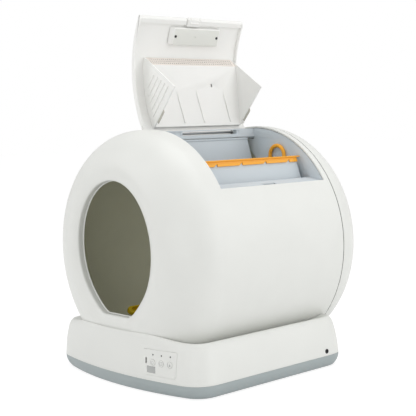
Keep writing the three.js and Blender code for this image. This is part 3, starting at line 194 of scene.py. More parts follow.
# Filter box and latch
FILTER_Y = 29
FILTER_BASE = 147
FILTER_FACE = 134
CHAMFER_SHARE = 1 / 8
FACE_NORMAL = 0.97
FILTER_DEG = (44.5, 53.8)
FILTER_MIDDLE = sum(FILTER_DEG) / 2
FILTER_DEPTH = 11
FILTER_SCREW_SPAN = 121
FILTER_WALL = 2
FILTER_HEAD = (3.6, 0.9)  # radius, depth
FILTER_SEAT_R = 5
DIMPLE = (4.6, 1.4, 0.8)  # offset along Y, radius, depth
FILTER_SCREW = (3, 1.5, 2)  # head radius, head height, shank radius
CROSS = (4.2, 1, 1.6)  # length, width, depth
LATCH_Y = 16
LATCH_WIDTH = 38
LATCH_DEPTH = 9
LATCH_LENGTH = 20
LATCH_HOOK = 4
LATCH_SIDE_GAP = 0.4
# Side cuts: place as a share of the half width, half a cut's width, depth from and to, reach
LATCH_CUT = (0.72, 2.5, 5, 14, 60)

# Waste bay
BAY_WALL = 2.5
BAY_DEG = (-11.5, 61)  # angles of the outer wall's ends
BEAM = (-7.5, 4, 510.2, 529.2)  # x from and to, z from and to
BEAM_SLOT = (-51, 111, 517.7, 526.7)  # y from and to, z from and to
LEDGE_IN_Z = 415.2
LEDGE_OUT_Z = 408.2
TROUGH = (22, 178, 352.2, 447.2)  # left, right, floor, top of the left wall
BEAM_DENTS = ((-88, -72), (-68, -55), (114, 119))
BEAM_DENT = (1.2, 5, 0.5)  # depth, reach outside, inset in the slot
BAY_LEFT_LAP = 8
RIGHT_WALL_DROP = 0.1
LEDGE_GROOVE = (27, 1.4, 412, 5.6, 5.9)  # run from the trough, width, top, inner and outer drop
FLAP_WAY_R = 1.8
LID_PIN_R = 2.5
FLAP_PIN_R = 1.5

# Bin, bar and handles
BIN_WALL = 2.5
BIN_Y = (-121, 156.5)
BIN_X = (27.5, 171)
BIN_FLOOR = 355
BIN_TOPS = (449.2, 451.2, 460.6)  # left, ends, right
BIN_LEAN = (150, 450.7, 20, 57)  # x and z of a point on the leaning wall, its run and rise
BIN_TRIM_Y = (-160, 200)
EAR_WIDTH = 3.4
EAR_DROP = 7
# Pin radius and reach past the loop, and the radius and length of its way
HANDLE_PIN = (2.4, 3.7)
HANDLE_WAY = (2.7, 90)
BAR_Y = (-123, 163.5)
BAR_TOP = (14, 2.6)  # width, height
BAR_DROP = 10.5
BAR_FACE = 2.6
NOTCH_FIRST = 129
NOTCH_PITCH = 71
NOTCH_R = 7
NOTCH_DEPTH = 30
NOTCHES = 4
# Count, first place and pitch along Y, width, then the reach inward, outward and up from the bar's low edge
BAR_DENTS = (5, 159, 67, 3, 1.2, 5.2, 6)
HANDLE_X = 83.5
HANDLE_HALF = 22.5
HANDLE_TUBE = 8.4
HANDLE_RISE = 29
HANDLE_STEPS = 32
HANDLE_Z = 458.2
HANDLE_YS = {"rear": 161.6, "front": -126.1}

# Flap
FLAP = (0, 505.7)  # x, z
FLAP_LENGTH = 50
FLAP_LEAN_DEG = 16
FLAP_Y = (-101, 146.5)
FLAP_HALF = 1.25
FLAP_BARREL_R = 3.4
FLAP_RIB_YS = (-60, 22, 104)
FLAP_RIB_WIDTH = 2
FLAP_RIB = ((4, -1), (4, -3.2), (FLAP_LENGTH - 4, -2), (FLAP_LENGTH - 2, -1))  # run down the flap, side

# Pan and rake
PAN_R = 249
PAN_WALL = 2.5
PAN_Y = (-190, 172.9)
COLLAR_Y = -237
COLLAR_FLARE = 60
RAKE_REST_DEG = 39.5
RAKE_BAR = (192, 203, 11)  # inner and outer radius, half width
RAKE_TIP = 243
RAKE_Y = (-128, 161)
RAKE_ROUNDING = ((3, 0), (0.9, 0.9), (0, 3))  # inset, height
RAKE_SLOT = (5.5, -119, 128, -8, 5)  # half width, y from and to, z from the bar's top
TINES = 12
TINE_ROOM = 9
TINE_Y = (0.2, 8.8)  # from and to in its pitch
TINE_ROOT = 7
RAKE_ARM_Y = 151
ARM_WINDOW = (11, 40, 6, 100)  # half width at the top, drop from the axis, half width below, y
HUB = (156, 24, 10)  # y, radius, length
ARM_FOOT_HALF = 14
BOSS = (161.2, 15.7, 20.4)  # y, radius, length
PAN_SIDES = 144
PAN_REAR_FILLET = 20
PAN_FRONT_FILLET = 14
SHAFT_HOLE_R = 16
COLLAR_STRAIGHT = 4

# Base
BASE_W = 504.8
BASE_FRONT = -265.5
BASE_REAR = 197
BASE_CORNER = 48
BASE_REAR_CORNER = 50
FRONT_BOW = 31.7
REAR_BOW = 8
SEAM_Z = 28.2
SIDE_RIM_Z = 109
FRONT_RISE = 12.5
RISE_SHARES = (0.4, 0.85)  # of the half width: where the front's rise starts and ends to fall
RIM_DISH = 22
RIM_LEAN = 86
RIM_SHARE = 0.7
WALL_FRONT_SHARE = 0.1
TRAY_FRONT_SHARE = 0.5
TRAY_LEAN = 11
TRAY_BOTTOM = 2
BASE_WALL = 3
RIM_TOP_LEAN = 24
DISH_GAP = 0.9
PANEL_GAP = 0.35
# Tray section as shares of its lean and rise, and inner rings as lean, depth and height
TRAY_SECTION = ((1, 0), (0.45, 0.3), (0.1, 0.65), (0, 1))
TRAY_INSIDE = ((0, BASE_WALL, SEAM_Z), (0, BASE_WALL + 0.5, SEAM_Z - 6), (6, BASE_WALL + 2, 8),
               (9, BASE_WALL + 6, TRAY_BOTTOM + BASE_WALL))
TRAY_SCREW_HOLE = (4.8, 6.6)  # radius, length
TRAY_FOOT_HOLE = (4.3, 20)  # radius, length
FOOT = (15, 1.7)  # radius, height
STEM = (4, 3, 4)  # radius, middle, length
GROOVES = (12.5, 8.5, 4.5)  # radii
GROOVE_DEPTH = 0.8

# Panel and socket
PANEL = (104, 192, 40, 92)  # x from and to, z from and to
PANEL_CORNER = 6
CORNER_STEPS = 8
KEY_XS = (131, 153.5, 176)
KEY_Z = 66.2
KEY_R = 6.4
LAMP_Z = 82
LAMP_R = 1.7
KEY_GAP = 0.4
LAMP_GAP = 0.1
WALL_DEPTH = (BASE_FRONT - OVER, BASE_FRONT + FRONT_BOW + OVER)
WINDOW = (125.8, 51.4, 23, 13)  # x, z, width, height
SOCKET = (127, 38, 5, 3.2)  # y, z, radius, bore radius
SOCKET_LENGTH = 15
SOCKET_BORE_LENGTH = 24
SOCKET_PROUD = 1.2
SOCKET_PIN = (6.5, 11)  # depth, length
PANEL_EDGE = 4
PANEL_OUT = (0.5, 2.2)  # proud, deep
WINDOW_OUT = (0.3, 2.4)  # proud, deep
WINDOW_STEPS = 10
SOUND_SLOT = (109.75, 114.25, -4, 9)  # x from and to, z from the keys' middle
KEY_PROUD = 1.0
KEY_LENGTH = 9
KEY_FLANGE = (7, 1.6, 1.6)  # depth, extra radius, length
LAMP_PROUD = 0.7
LAMP_LENGTH = 6
MARK_Y = (-0.12, 0.3)  # from and to, from the key's face
# Rings as radius, width, start and end in degrees; bars as x and z from and to
POWER_RING = (3.2, 0.7, 35, 325)
POWER_BAR = (-0.35, 0.35, 0.8, 4)
ARROW_RING = (3.2, 0.7, 60, 350)
ARROW_HEAD = ((1.2, 2.2), (4.6, 2.4), (2.6, 4.8))
LOCK_BODY = (-2.4, 2.4, -3.2, 0.6)
LOCK_BOW = (1.6, 0.6, -90, 90)
LOCK_RISE = 1.1
FEET = [(x, y) for x in (-180, 180) for y in (-200, 140)]
BASE_SCREWS = [(x, y) for x in (-222, 222) for y in (-196, 122)]
CORNER_NAMES = ["front_left", "rear_left", "front_right", "rear_right"]


def at(x, y, z):
    return Vector((x * MM, (y + SHIFT_Y) * MM, z * MM))


# Small tools over Blender's own
def clear():
    if bpy.context.mode != "OBJECT":
        bpy.ops.object.mode_set(mode="OBJECT")
    bpy.ops.object.select_all(action="DESELECT")


def pick(*pieces):
    clear()
    for piece in pieces:
        piece.select_set(True)
    bpy.context.view_layer.objects.active = pieces[0]


def settle(name):
    """Names the piece just added and puts its place into its mesh."""
    piece = bpy.context.active_object
    piece.name = name
    bpy.ops.object.transform_apply(location=True, rotation=True, scale=True)
    return piece


def face_out(piece, weld=False):
    pick(piece)
    bpy.ops.object.mode_set(mode="EDIT")
    bpy.ops.mesh.select_all(action="SELECT")
    if weld:
        bpy.ops.mesh.remove_doubles(threshold=WELD_REACH)
    bpy.ops.mesh.normals_make_consistent(inside=False)
    bpy.ops.object.mode_set(mode="OBJECT")
    return piece


def slab(name, outline, y0, y1):
    """An outline in X and Z, extruded along Y."""
    clear()
    bpy.ops.mesh.primitive_circle_add(vertices=len(outline), radius=1, fill_type="NGON")
    piece = settle(name)
    for vertex, (x, z) in zip(piece.data.vertices, outline):
        vertex.co = at(x, y0, z)
    bpy.ops.object.mode_set(mode="EDIT")
    bpy.ops.mesh.select_all(action="SELECT")
    bpy.ops.mesh.extrude_region_move(TRANSFORM_OT_translate={"value": (0, (y1 - y0) * MM, 0)})
    return face_out(piece)


def box(name, x0, x1, y0, y1, z0, z1):
    return slab(name, [(x0, z0), (x1, z0), (x1, z1), (x0, z1)], y0, y1)


def rod(name, axis, middle, radius, length, sides=RING_SIDES):
    """A cylinder along an axis, centred on its middle."""
    turns = {"X": (0, math.pi / 2, 0), "Y": (math.pi / 2, 0, 0), "Z": (0, 0, 0)}
    clear()
    bpy.ops.mesh.primitive_cylinder_add(vertices=sides, radius=radius * MM, depth=length * MM,
                                        location=at(*middle), rotation=turns[axis])
    return settle(name)


def form(name, rings, around=True, capped=False):
    """A grid laid over rings of points with equal counts."""
    count = len(rings[0])
    columns = count if around else count - 1
    clear()
    bpy.ops.mesh.primitive_grid_add(x_subdivisions=columns, y_subdivisions=len(rings) - 1, size=2)
    piece = settle(name)
    for vertex in piece.data.vertices:
        i = round((vertex.co.x + 1) / 2 * columns) % count
        k = round((vertex.co.y + 1) / 2 * (len(rings) - 1))
        vertex.co = at(*rings[k][i])
    face_out(piece, weld=True)
    if capped:
        bpy.ops.object.mode_set(mode="EDIT")
        bpy.ops.mesh.select_all(action="DESELECT")
        bpy.ops.mesh.select_mode(type="EDGE")
        bpy.ops.mesh.select_non_manifold()
        bpy.ops.mesh.fill_holes(sides=0)
        bpy.ops.object.mode_set(mode="OBJECT")
        face_out(piece)
    return piece


def turned(name, profile, sides=DRUM_SIDES, centre=(0, AXIS_Z)):
    """A profile of (radius, y) turned about an axis along Y."""
    rings = []
    for radius, y in profile:
        turns = [2 * math.pi * i / sides for i in range(sides)]
        rings.append([(centre[0] + radius * math.sin(t), y, centre[1] + radius * math.cos(t)) for t in turns])
    return form(name, rings)


def modify(piece, kind, **settings):
    pick(piece)
    modifier = piece.modifiers.new(kind.title(), kind)
    for key, value in settings.items():
        setattr(modifier, key, value)
    bpy.ops.object.modifier_apply(modifier=modifier.name)
    return piece


def boolean(piece, tool, operation):
    modify(piece, "BOOLEAN", object=tool, operation=operation, solver="EXACT")
    bpy.data.objects.remove(tool)


def cut(piece, *tools):
    for tool in tools:
        boolean(piece, tool, "DIFFERENCE")


def merge(piece, *others):
    for other in others:
        boolean(piece, other, "UNION")


def join(name, *pieces):
    pick(*pieces)
    bpy.ops.object.join()
    pieces[0].name = name
    return pieces[0]


def soften(piece, edge):
    width, segments, degrees = EDGES[edge]
    return modify(piece, "BEVEL", width=width * MM, segments=segments, limit_method="ANGLE",
                  angle_limit=math.radians(degrees), use_clamp_overlap=True)


def thicken(piece, wall):
    return modify(piece, "SOLIDIFY", thickness=wall * MM, offset=-1, use_even_offset=True)


def turn_piece(piece, centre, degrees):
    """Turns a piece about an axis along Y through a point in X and Z."""
    middle = at(centre[0], -SHIFT_Y, centre[1])
    turn = Matrix.Rotation(math.radians(degrees), 4, "Y")
    piece.data.transform(Matrix.Translation(middle) @ turn @ Matrix.Translation(-middle))


def done(piece, material, body, node, degrees=SMOOTH):
    """Gives a piece its shading and finish, hangs it on its body's empty, and hides the source part it
    replaces.
    """
    pick(piece)
    bpy.ops.object.shade_smooth_by_angle(angle=math.radians(degrees))
    if not piece.data.materials:
        piece.data.materials.append(material)
    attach(piece, body)
    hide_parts(node)


def lid_done(piece, material, node):
    """Turns a piece that was modelled on the closed lid open, and ends it."""
    turn_piece(piece, HINGE, -LID_OPEN_DEG)
    done(piece, material, "lid", node)


def paint(piece, first, second, chosen):
    """Gives a piece its finish, and the chosen faces a second one."""
    piece.data.materials.append(first)
    piece.data.materials.append(second)
    for face in piece.data.polygons:
        if chosen(face):
            face.material_index = 1


# Shapes that several pieces share
def on_drum(radius, degrees):
    turn = math.radians(degrees)
    return (radius * math.sin(turn), AXIS_Z + radius * math.cos(turn))


def arc(radius, start, end, steps=48):
    return [on_drum(radius, start + (end - start) * i / steps) for i in range(steps + 1)]


def angle_at(radius, x):
    return math.degrees(math.asin(x / radius))


def bezier(start, control, end, steps):
    points = []
    for i in range(1, steps):
        t = i / steps
        points.append(tuple((1 - t) ** 2 * s + 2 * t * (1 - t) * c + t * t * e
                            for s, c, e in zip(start, control, end)))
    return points


def through(points, steps=4):
    """A smooth path through points, each a tuple of the same length."""
    path = []
    for k in range(len(points) - 1):
        p0 = points[max(k - 1, 0)]
        p1, p2 = points[k], points[k + 1]
        p3 = points[min(k + 2, len(points) - 1)]
        for i in range(steps):
            t = i / steps
            path.append(tuple(0.5 * (2 * b + (c - a) * t + (2 * a - 5 * b + 4 * c - d) * t * t
                                     + (3 * b - a - 3 * c + d) * t ** 3)
                              for a, b, c, d in zip(p0, p1, p2, p3)))
    return path + [points[-1]]


def entry_outline(offset, arc_steps=150, corner_steps=14, foot_steps=22):
    """The entry's edge, grown by an offset: a tall oval that runs into a flat foot."""
    half_x, half_z = ENTRY_HALF[0] + offset, ENTRY_HALF[1] + offset
    foot = ENTRY_FLAT_Z - offset
    points = []
    for i in range(arc_steps + 1):
        turn = math.radians(-ENTRY_TURN_DEG + (180 + 2 * ENTRY_TURN_DEG) * i / arc_steps)
        points.append((half_x * math.cos(turn), ENTRY_Z + half_z * math.sin(turn)))
    right, left = points[0], points[-1]
    start = math.radians(ENTRY_TURN_DEG)
    corner = right[0] - (right[1] - foot) / (half_z * math.cos(start)) * half_x * math.sin(start)
    flat = ENTRY_FLAT_HALF
    points += bezier(left, (-corner, foot), (-flat, foot), corner_steps)
    points += [(-flat + 2 * flat * i / foot_steps, foot) for i in range(foot_steps + 1)]
    points += bezier((flat, foot), (corner, foot), right, corner_steps)
    return points


def entry_ring(offset, y):
    return [(x, y, z) for x, z in entry_outline(offset)]


def face_ring(offset, depth):
    """The entry's edge, set back by a depth from the drum's domed face."""
    return [(x, front_dome_y(math.hypot(x, z - AXIS_Z)) + depth, z) for x, z in entry_outline(offset)]


def front_dome_y(radius):
    run = max(radius - (DRUM_R - FRONT_DOME[0]), 0) / FRONT_DOME[0]
    return DRUM_FRONT + FRONT_DOME[1] * (1 - math.sqrt(max(1 - run * run, 0)))


def dome_profile(offset, steps=30):
    """The drum's outer form from pole to pole, grown by an offset."""
    front, rear = [], []
    for i in range(steps + 1):
        turn = math.pi / 2 * i / steps
        front.append((DRUM_R - FRONT_DOME[0] + (FRONT_DOME[0] + offset) * math.sin(turn),
                      DRUM_FRONT + FRONT_DOME[1] - (FRONT_DOME[1] + offset) * math.cos(turn)))
        rear.append((DRUM_R - REAR_DOME[0] + (REAR_DOME[0] + offset) * math.cos(turn),
                     DRUM_REAR - REAR_DOME[1] + (REAR_DOME[1] + offset) * math.sin(turn)))
    return front, rear


def drum_envelope(offset):
    front, rear = dome_profile(offset)
    return turned("drum_envelope", [(0, front[0][1])] + front + rear + [(0, rear[-1][1])])


def opening_tool(left, end_deg, y0, y1):
    reach = DRUM_R + OVER
    outline = [(left, AXIS_Z + DRUM_R / 2), (left, AXIS_Z + reach), (reach, AXIS_Z + reach),
               on_drum(reach + OVER, end_deg), on_drum(DRUM_R - OVER, end_deg)]
    return slab("opening_tool", outline, y0, y1)


# Materials
def linear(channel):
    share = channel / 255
    return share / 12.92 if share <= 0.04045 else ((share + 0.055) / 1.055) ** 2.4


def tint(colour, factor=1.0):
    return tuple(min(linear(c) * factor, 1) for c in colour) + (1,)


def add_node(tree, kind, **values):
    """A shader node and the values of its inputs, with _ for a space in their names."""
    node = tree.nodes.new("ShaderNode" + kind)
    for key, value in values.items():
        node.inputs[key.replace("_", " ")].default_value = value
    return node


def wire(tree, *pairs):
    for start, end in pairs:
        tree.links.new(start, end)


def moulded(name, colour, roughness, grain=900, depth=0.02, mottle=0.03, metallic=0.0, coat=0.0):
    """Moulded plastic, rubber or metal: a faint mottle, a fine grain and uneven gloss."""
    material = bpy.data.materials.new(name)
    material.use_nodes = True
    tree = material.node_tree
    shader = tree.nodes["Principled BSDF"]
    shader.inputs["Metallic"].default_value = metallic
    shader.inputs["Coat Weight"].default_value = coat
    place = add_node(tree, "TexCoord").outputs["Object"]
    cloud = add_node(tree, "TexNoise", Scale=CLOUD_SCALE, Detail=4)
    fine = add_node(tree, "TexNoise", Scale=grain, Detail=3)
    mix = add_node(tree, "Mix")
    mix.data_type = "RGBA"
    mix.inputs["A"].default_value = tint(colour, 1 - mottle)
    mix.inputs["B"].default_value = tint(colour, 1 + mottle)
    gloss = add_node(tree, "MapRange", To_Min=roughness - GLOSS_SPREAD, To_Max=roughness + GLOSS_SPREAD)
    bump = add_node(tree, "Bump", Strength=depth * 10, Distance=GRAIN_HEIGHT)
    wire(tree, (place, cloud.inputs["Vector"]), (place, fine.inputs["Vector"]),
         (cloud.outputs["Fac"], mix.inputs["Factor"]), (mix.outputs["Result"], shader.inputs["Base Color"]),
         (cloud.outputs["Fac"], gloss.inputs["Value"]), (gloss.outputs["Result"], shader.inputs["Roughness"]),
         (fine.outputs["Fac"], bump.inputs["Height"]), (bump.outputs["Normal"], shader.inputs["Normal"]))
    return material


shell_white = moulded("shell_white", (229, 230, 226), 0.42)
lid_white = moulded("lid_white", (243, 243, 240), 0.45)
tray_grey = moulded("tray_grey", (165, 174, 175), 0.5, mottle=0.04)
bay_grey = moulded("bay_grey", (203, 211, 216), 0.5, mottle=0.03)
pan_grey = moulded("pan_grey", (196, 196, 178), 0.62, grain=500, depth=0.05, mottle=0.06)
orange = moulded("orange_plastic", (255, 176, 44), 0.4, mottle=0.04)
rake_ochre = moulded("rake_ochre", (221, 188, 6), 0.45, mottle=0.04)
rubber = moulded("foot_rubber", (60, 62, 64), 0.85, grain=400, depth=0.08, mottle=0.1)
seal_grey = moulded("seal_rubber", (196, 194, 184), 0.8, grain=500, depth=0.06, mottle=0.05)
dark_plastic = moulded("dark_plastic", (44, 46, 48), 0.4, mottle=0.06)
window_dark = moulded("window_dark", (172, 174, 172), 0.22, mottle=0.05, depth=0.005, coat=0.5)
# Painted shade: a dark finish for the gap at the drum's seam, laid on the rear cover's tongue
seam_painted_shade = moulded("seam_painted_shade", (70, 72, 70), 0.8, mottle=0.05)
vent_beige = moulded("vent_beige", (236, 228, 220), 0.5)
filter_white = moulded("filter_white", (229, 230, 224), 0.45)
symbol_grey = moulded("symbol_grey", (176, 178, 176), 0.5)
steel = moulded("steel", (168, 170, 172), 0.32, metallic=1.0, mottle=0.06)
brass = moulded("brass", (206, 188, 140), 0.35, metallic=1.0, mottle=0.06)
board_green = moulded("board_green", (44, 107, 69), 0.55, grain=300, depth=0.06, mottle=0.12)
carbon = moulded("carbon_granules", (42, 42, 42), 0.95, grain=260, depth=0.3, mottle=0.2)

SLOT_MATERIALS = {
    "white_shell": shell_white,
    "lid_white": lid_white,
    "grey_trim": tray_grey,
    "bay_grey": bay_grey,
    "pan_grey": pan_grey,
    "orange_plastic": orange,
    "foot_rubber": rubber,
    "seal_rubber": seal_grey,
    "dark_plastic": dark_plastic,
    "steel": steel,
    "board_green": board_green,
    "brass": brass,
    "carbon": carbon,
}


# Drum shell: throat, rolled lip, face, dome and barrel in one skin
LIP_SECTION = through([(0, 1.05), (0, 0.9), (0, 0.72), (0.008, 0.62), (0.03, 0.54), (0.08, 0.47),
                       (0.18, 0.37), (0.35, 0.23), (0.55, 0.11), (0.78, 0.02), (1, 0)], 3)


def make_drum_shell():
    lip = entry_outline(LIP[0])
    turns = [math.atan2(x, z - AXIS_Z) for x, z in lip]
    rings = [face_ring(-inside, THROAT - short) for inside, short in THROAT_END]
    rings += [face_ring(LIP[0] * out, LIP[1] * deep) for out, deep in LIP_SECTION]

    def circle(radius, y):
        return [(radius * math.sin(t), y, AXIS_Z + radius * math.cos(t)) for t in turns]

    far = circle(DRUM_R - FRONT_DOME[0] / 3, 0)
    for k in range(1, FACE_RINGS + 1):
        share = k / FACE_RINGS
        ring = []
        for (x, z), (fx, _, fz) in zip(lip, far):
            px, pz = x + (fx - x) * share, z + (fz - z) * share
            ring.append((px, front_dome_y(math.hypot(px, pz - AXIS_Z)), pz))
        rings.append(ring)
    for degrees in DOME_DEGREES:
        turn = math.radians(degrees)
        rings.append(circle(DRUM_R - FRONT_DOME[0] * (1 - math.sin(turn)),
                            DRUM_FRONT + FRONT_DOME[1] * (1 - math.cos(turn))))
    barrel = DRUM_FRONT + FRONT_DOME[1]
    end = SEAM_Y - SEAM_GROOVE / 2
    rings += [circle(DRUM_R, barrel + (end - barrel) * share) for share in BARREL_SHARES]
    rings.append(circle(DRUM_R - SEAM_CHAMFER, end))
    shell = thicken(form("drum_shell_form", rings), DRUM_WALL)
    cut(shell, opening_tool(OPEN_LEFT, OPEN_DEG, OPEN_FRONT, OPEN_REAR))
    done(shell, shell_white, "housing", "drum_shell")


def make_rear_cover():
    start = SEAM_Y + SEAM_GROOVE
    tongue_in, tongue_out, tongue_front, tongue_rear = TONGUE
    outer = dome_profile(0)[1]
    inner = dome_profile(-DRUM_WALL)[1][3:]
    profile = [(DRUM_R - SEAM_CHAMFER, start), (DRUM_R, start + SEAM_CHAMFER)] + outer
    rear_in = DRUM_REAR - DRUM_WALL
    profile += [(POLE_R, DRUM_REAR), (0, DRUM_REAR), (0, rear_in), (POLE_R, rear_in)]
    profile += inner[::-1] + [(tongue_in, tongue_rear), (tongue_in, tongue_front), (tongue_out, tongue_front),
                              (tongue_out, start), (DRUM_R - SEAM_CHAMFER, start)]
    cover = turned("rear_cover_form", profile)
    for x, z in [on_drum(SCREW_REACH, degrees) for degrees in SCREW_DEGREES]:
        merge(cover, rod("post", "Y", (x, POST_Y[0], z), POST_R, POST_Y[1]))
        cut(cover, rod("hole", "Y", (x, HEAD_Y[0], z), HEAD_R, HEAD_Y[1]),
            rod("bore", "Y", (x, SCREW_Y[0], z), SCREW_R, SCREW_Y[1], PIN_SIDES))
    soften(cover, "cover")
    # Painted shade: the tongue's outer faces in the seam are painted dark, standing for the shade in the gap
    # between drum and rear cover
    front = at(0, start + SEAM_SHADE_Y, 0).y

    def in_seam_shade(face):
        x, y, z = face.center
        return y < front and math.hypot(x, z - AXIS_Z * MM) > SEAM_SHADE_R * MM

    paint(cover, shell_white, seam_painted_shade, in_seam_shade)
    done(cover, shell_white, "housing", "rear_cover")


# Base outline from above, as the source has it, with more steps
def base_plan(lean, depth, front_share, steps=26, corner_steps=16, side_steps=12, rear_steps=10):
    half = BASE_W / 2 - lean - depth
    front = BASE_FRONT + lean * front_share + depth
    bow = FRONT_BOW + lean * (1 - front_share)
    rear = BASE_REAR - lean - depth
    sharpen = min(lean, BASE_CORNER / 2)
    corner, rear_corner = BASE_CORNER - sharpen, BASE_REAR_CORNER - sharpen
    front_half, rear_half = half - corner, half - rear_corner

    def front_at(x):
        return front + bow * (x / half) ** 2

    def rear_at(x):
        return rear - REAR_BOW * (x / half) ** 2

    right = [(front_half * i / steps, front_at(front_half * i / steps)) for i in range(steps + 1)]
    front_end, rear_start = (half, front_at(half) + corner), (half, rear_at(half) - rear_corner)
    right += bezier(right[-1], (half, front_at(half)), front_end, corner_steps)
    shares = [i / side_steps for i in range(side_steps + 1)]
    right += [(half, front_end[1] + (rear_start[1] - front_end[1]) * share) for share in shares]
    right += bezier(rear_start, (half, rear_at(half)), (rear_half, rear_at(rear_half)), corner_steps)
    for i in range(rear_steps + 1):
        x = rear_half * (1 - i / rear_steps)
        right.append((x, rear_at(x)))
    return right + [(-x, y) for x, y in right[1:-1][::-1]]


def rim_height(x, y):
    share = (abs(x) / (BASE_W / 2) - RISE_SHARES[0]) / (RISE_SHARES[1] - RISE_SHARES[0])
    share = min(max(share, 0), 1)
    rise = 1 - share * share * (3 - 2 * share)
    return SIDE_RIM_Z + (FRONT_RISE * rise if y < 0 else 0)


COVER_LOW = SEAM_Z + SEAT_GAP
# Lean in from the seam, share of the rise, and drop below the rim
COVER_SECTION = through([(0, 0, 0), (3.6, 0.44, 0), (8.9, 0.76, 0), (13, 0.9, 0), (18, 0.98, 0),
                         (23, 1, 0.2), (28, 1, 1.6), (36, 1, 4.3), (60, 1, 12.8), (RIM_LEAN, 1, RIM_DISH)], 4)


def cover_form(depth, drop_low=0):
    """The cover's outer form, filled, at a depth inside its surface."""
    rims = [rim_height(x, y) for x, y in base_plan(0, 0, WALL_FRONT_SHARE)]
    rings = []
    for lean, rise, drop in COVER_SECTION:
        inner = max(lean - RIM_TOP_LEAN, 0) / (RIM_LEAN - RIM_TOP_LEAN)
        front_share = WALL_FRONT_SHARE + (RIM_SHARE - WALL_FRONT_SHARE) * inner * RIM_LEAN / max(lean, 1)
        plan = base_plan(lean, depth, front_share)
        rings.append([(x, y, COVER_LOW + (rim - depth - COVER_LOW) * rise - drop)
                      for (x, y), rim in zip(plan, rims)])
    if drop_low:
        rings.insert(0, [(x, y, z - drop_low) for x, y, z in rings[0]])
    middle = (BASE_FRONT + BASE_REAR) / 2
    rings.insert(0, [(0, middle, rings[0][0][2])] * len(rims))
    rings.append([(0, middle, SIDE_RIM_Z - RIM_DISH - depth)] * len(rims))
    return form("cover_form", rings)


def make_base_cover():
    cover = cover_form(0)
    cover.name = "base_cover_form"
    cut(cover, cover_form(BASE_WALL, OVER), drum_envelope(DISH_GAP), panel_prism(PANEL_GAP),
        rod("bore", "X", (BASE_W / 2, SOCKET[0], SOCKET[1]), SOCKET[2] + SEAT_GAP, 2 * OVER))
    soften(cover, "cover")
    done(cover, shell_white, "housing", "base_cover", SMOOTH_WALL)


def make_tray():
    section = through([(TRAY_LEAN * lean, rise) for lean, rise in TRAY_SECTION], 5)
    rings = []
    for lean, rise in [(TRAY_LEAN + BASE_WALL, 0)] + section:
        z = max(TRAY_BOTTOM + (SEAM_Z - TRAY_BOTTOM) * rise, TRAY_BOTTOM)
        rings.append([(x, y, z) for x, y in base_plan(lean, 0, TRAY_FRONT_SHARE)])
    for lean, depth, z in TRAY_INSIDE:
        rings.append([(x, y, z) for x, y in base_plan(lean, depth, TRAY_FRONT_SHARE)])
    tray = form("base_tray_form", rings, capped=True)
    for places, (radius, length) in ((BASE_SCREWS, TRAY_SCREW_HOLE), (FEET, TRAY_FOOT_HOLE)):
        for x, y in places:
            cut(tray, rod("hole", "Z", (x, y, TRAY_BOTTOM), radius, length))
    done(tray, tray_grey, "housing", "base_tray", SMOOTH_WALL)


def make_feet():
    radius, height = FOOT
    stem_r, stem_z, stem_length = STEM
    for (x, y), corner in zip(FEET, CORNER_NAMES):
        foot = rod("rubber_foot_" + corner, "Z", (x, y, height / 2), radius, height, DISC_SIDES)
        merge(foot, rod("stem", "Z", (x, y, stem_z), stem_r, stem_length, BORE_SIDES))
        for groove_r in GROOVES:
            groove = rod("groove", "Z", (x, y, 0), groove_r, GROOVE_DEPTH)
            cut(groove, rod("core", "Z", (x, y, 0), groove_r - 1, stem_length))
            cut(foot, groove)
        soften(foot, "foot")
        done(foot, rubber, "housing", "foot_" + corner)


# Pan, seen through the entry
def fillet(edge_r, edge_y, radius, way, outward, steps=8):
    """A quarter round at an edge of a turned profile, where way is the sign of the edge's side along Y."""
    points = []
    for i in range(steps + 1):
        turn = math.pi / 2 * i / steps
        points.append((edge_r - radius + radius * math.cos(turn),
                       edge_y - way * radius * (1 - math.sin(turn))))
    return points[::-1] if outward else points


def make_pan():
    inner_r = PAN_R - PAN_WALL
    back = PAN_Y[1] - PAN_WALL
    front = PAN_Y[0] + PAN_WALL
    profile = [(SHAFT_HOLE_R, back)]
    profile += fillet(inner_r, back, PAN_REAR_FILLET, 1, True)
    profile += fillet(inner_r, front, PAN_FRONT_FILLET, -1, False)
    profile += [(0, front), (0, PAN_Y[0])]
    profile += fillet(PAN_R, PAN_Y[0], PAN_FRONT_FILLET, -1, True)
    profile += fillet(PAN_R, PAN_Y[1], PAN_REAR_FILLET, 1, False)
    profile += [(SHAFT_HOLE_R, PAN_Y[1]), (SHAFT_HOLE_R, back)]
    pan = turned("litter_pan_form", profile, PAN_SIDES)
    sleeve = DRUM_WALL + SEAT_GAP
    flared = sleeve + COLLAR_FLARE
    straight = COLLAR_Y + COLLAR_STRAIGHT
    end = front - PAN_WALL / 5
    cut(pan, slab("mouth", entry_outline(flared), PAN_Y[0] - OVER, front + OVER))
    collar = ((sleeve, COLLAR_Y), (sleeve + PAN_WALL, COLLAR_Y), (sleeve + PAN_WALL, straight),
              (flared + PAN_WALL, PAN_Y[0] + PAN_WALL / 5), (flared + PAN_WALL, end), (flared, end),
              (sleeve, straight), (sleeve, COLLAR_Y))
    merge(pan, form("collar", [entry_ring(offset, y) for offset, y in collar]))
    cut(pan, opening_tool(on_drum(PAN_R, BAY_DEG[0] - 2)[0], BAY_DEG[1] + 2, OPEN_FRONT - BAY_WALL - RUN_GAP,
                          back - SEAT_GAP))
    done(pan, pan_grey, "housing", "litter_pan")


def oval(half, y0, y1, z, steps=12):
    """A long loop in X and Y with round ends."""
    points = []
    for middle, start in ((y1 - half, 0), (y0 + half, math.pi)):
        for i in range(steps + 1):
            turn = start + math.pi * i / steps
            points.append((half * math.cos(turn), middle + half * math.sin(turn), z))
    return points


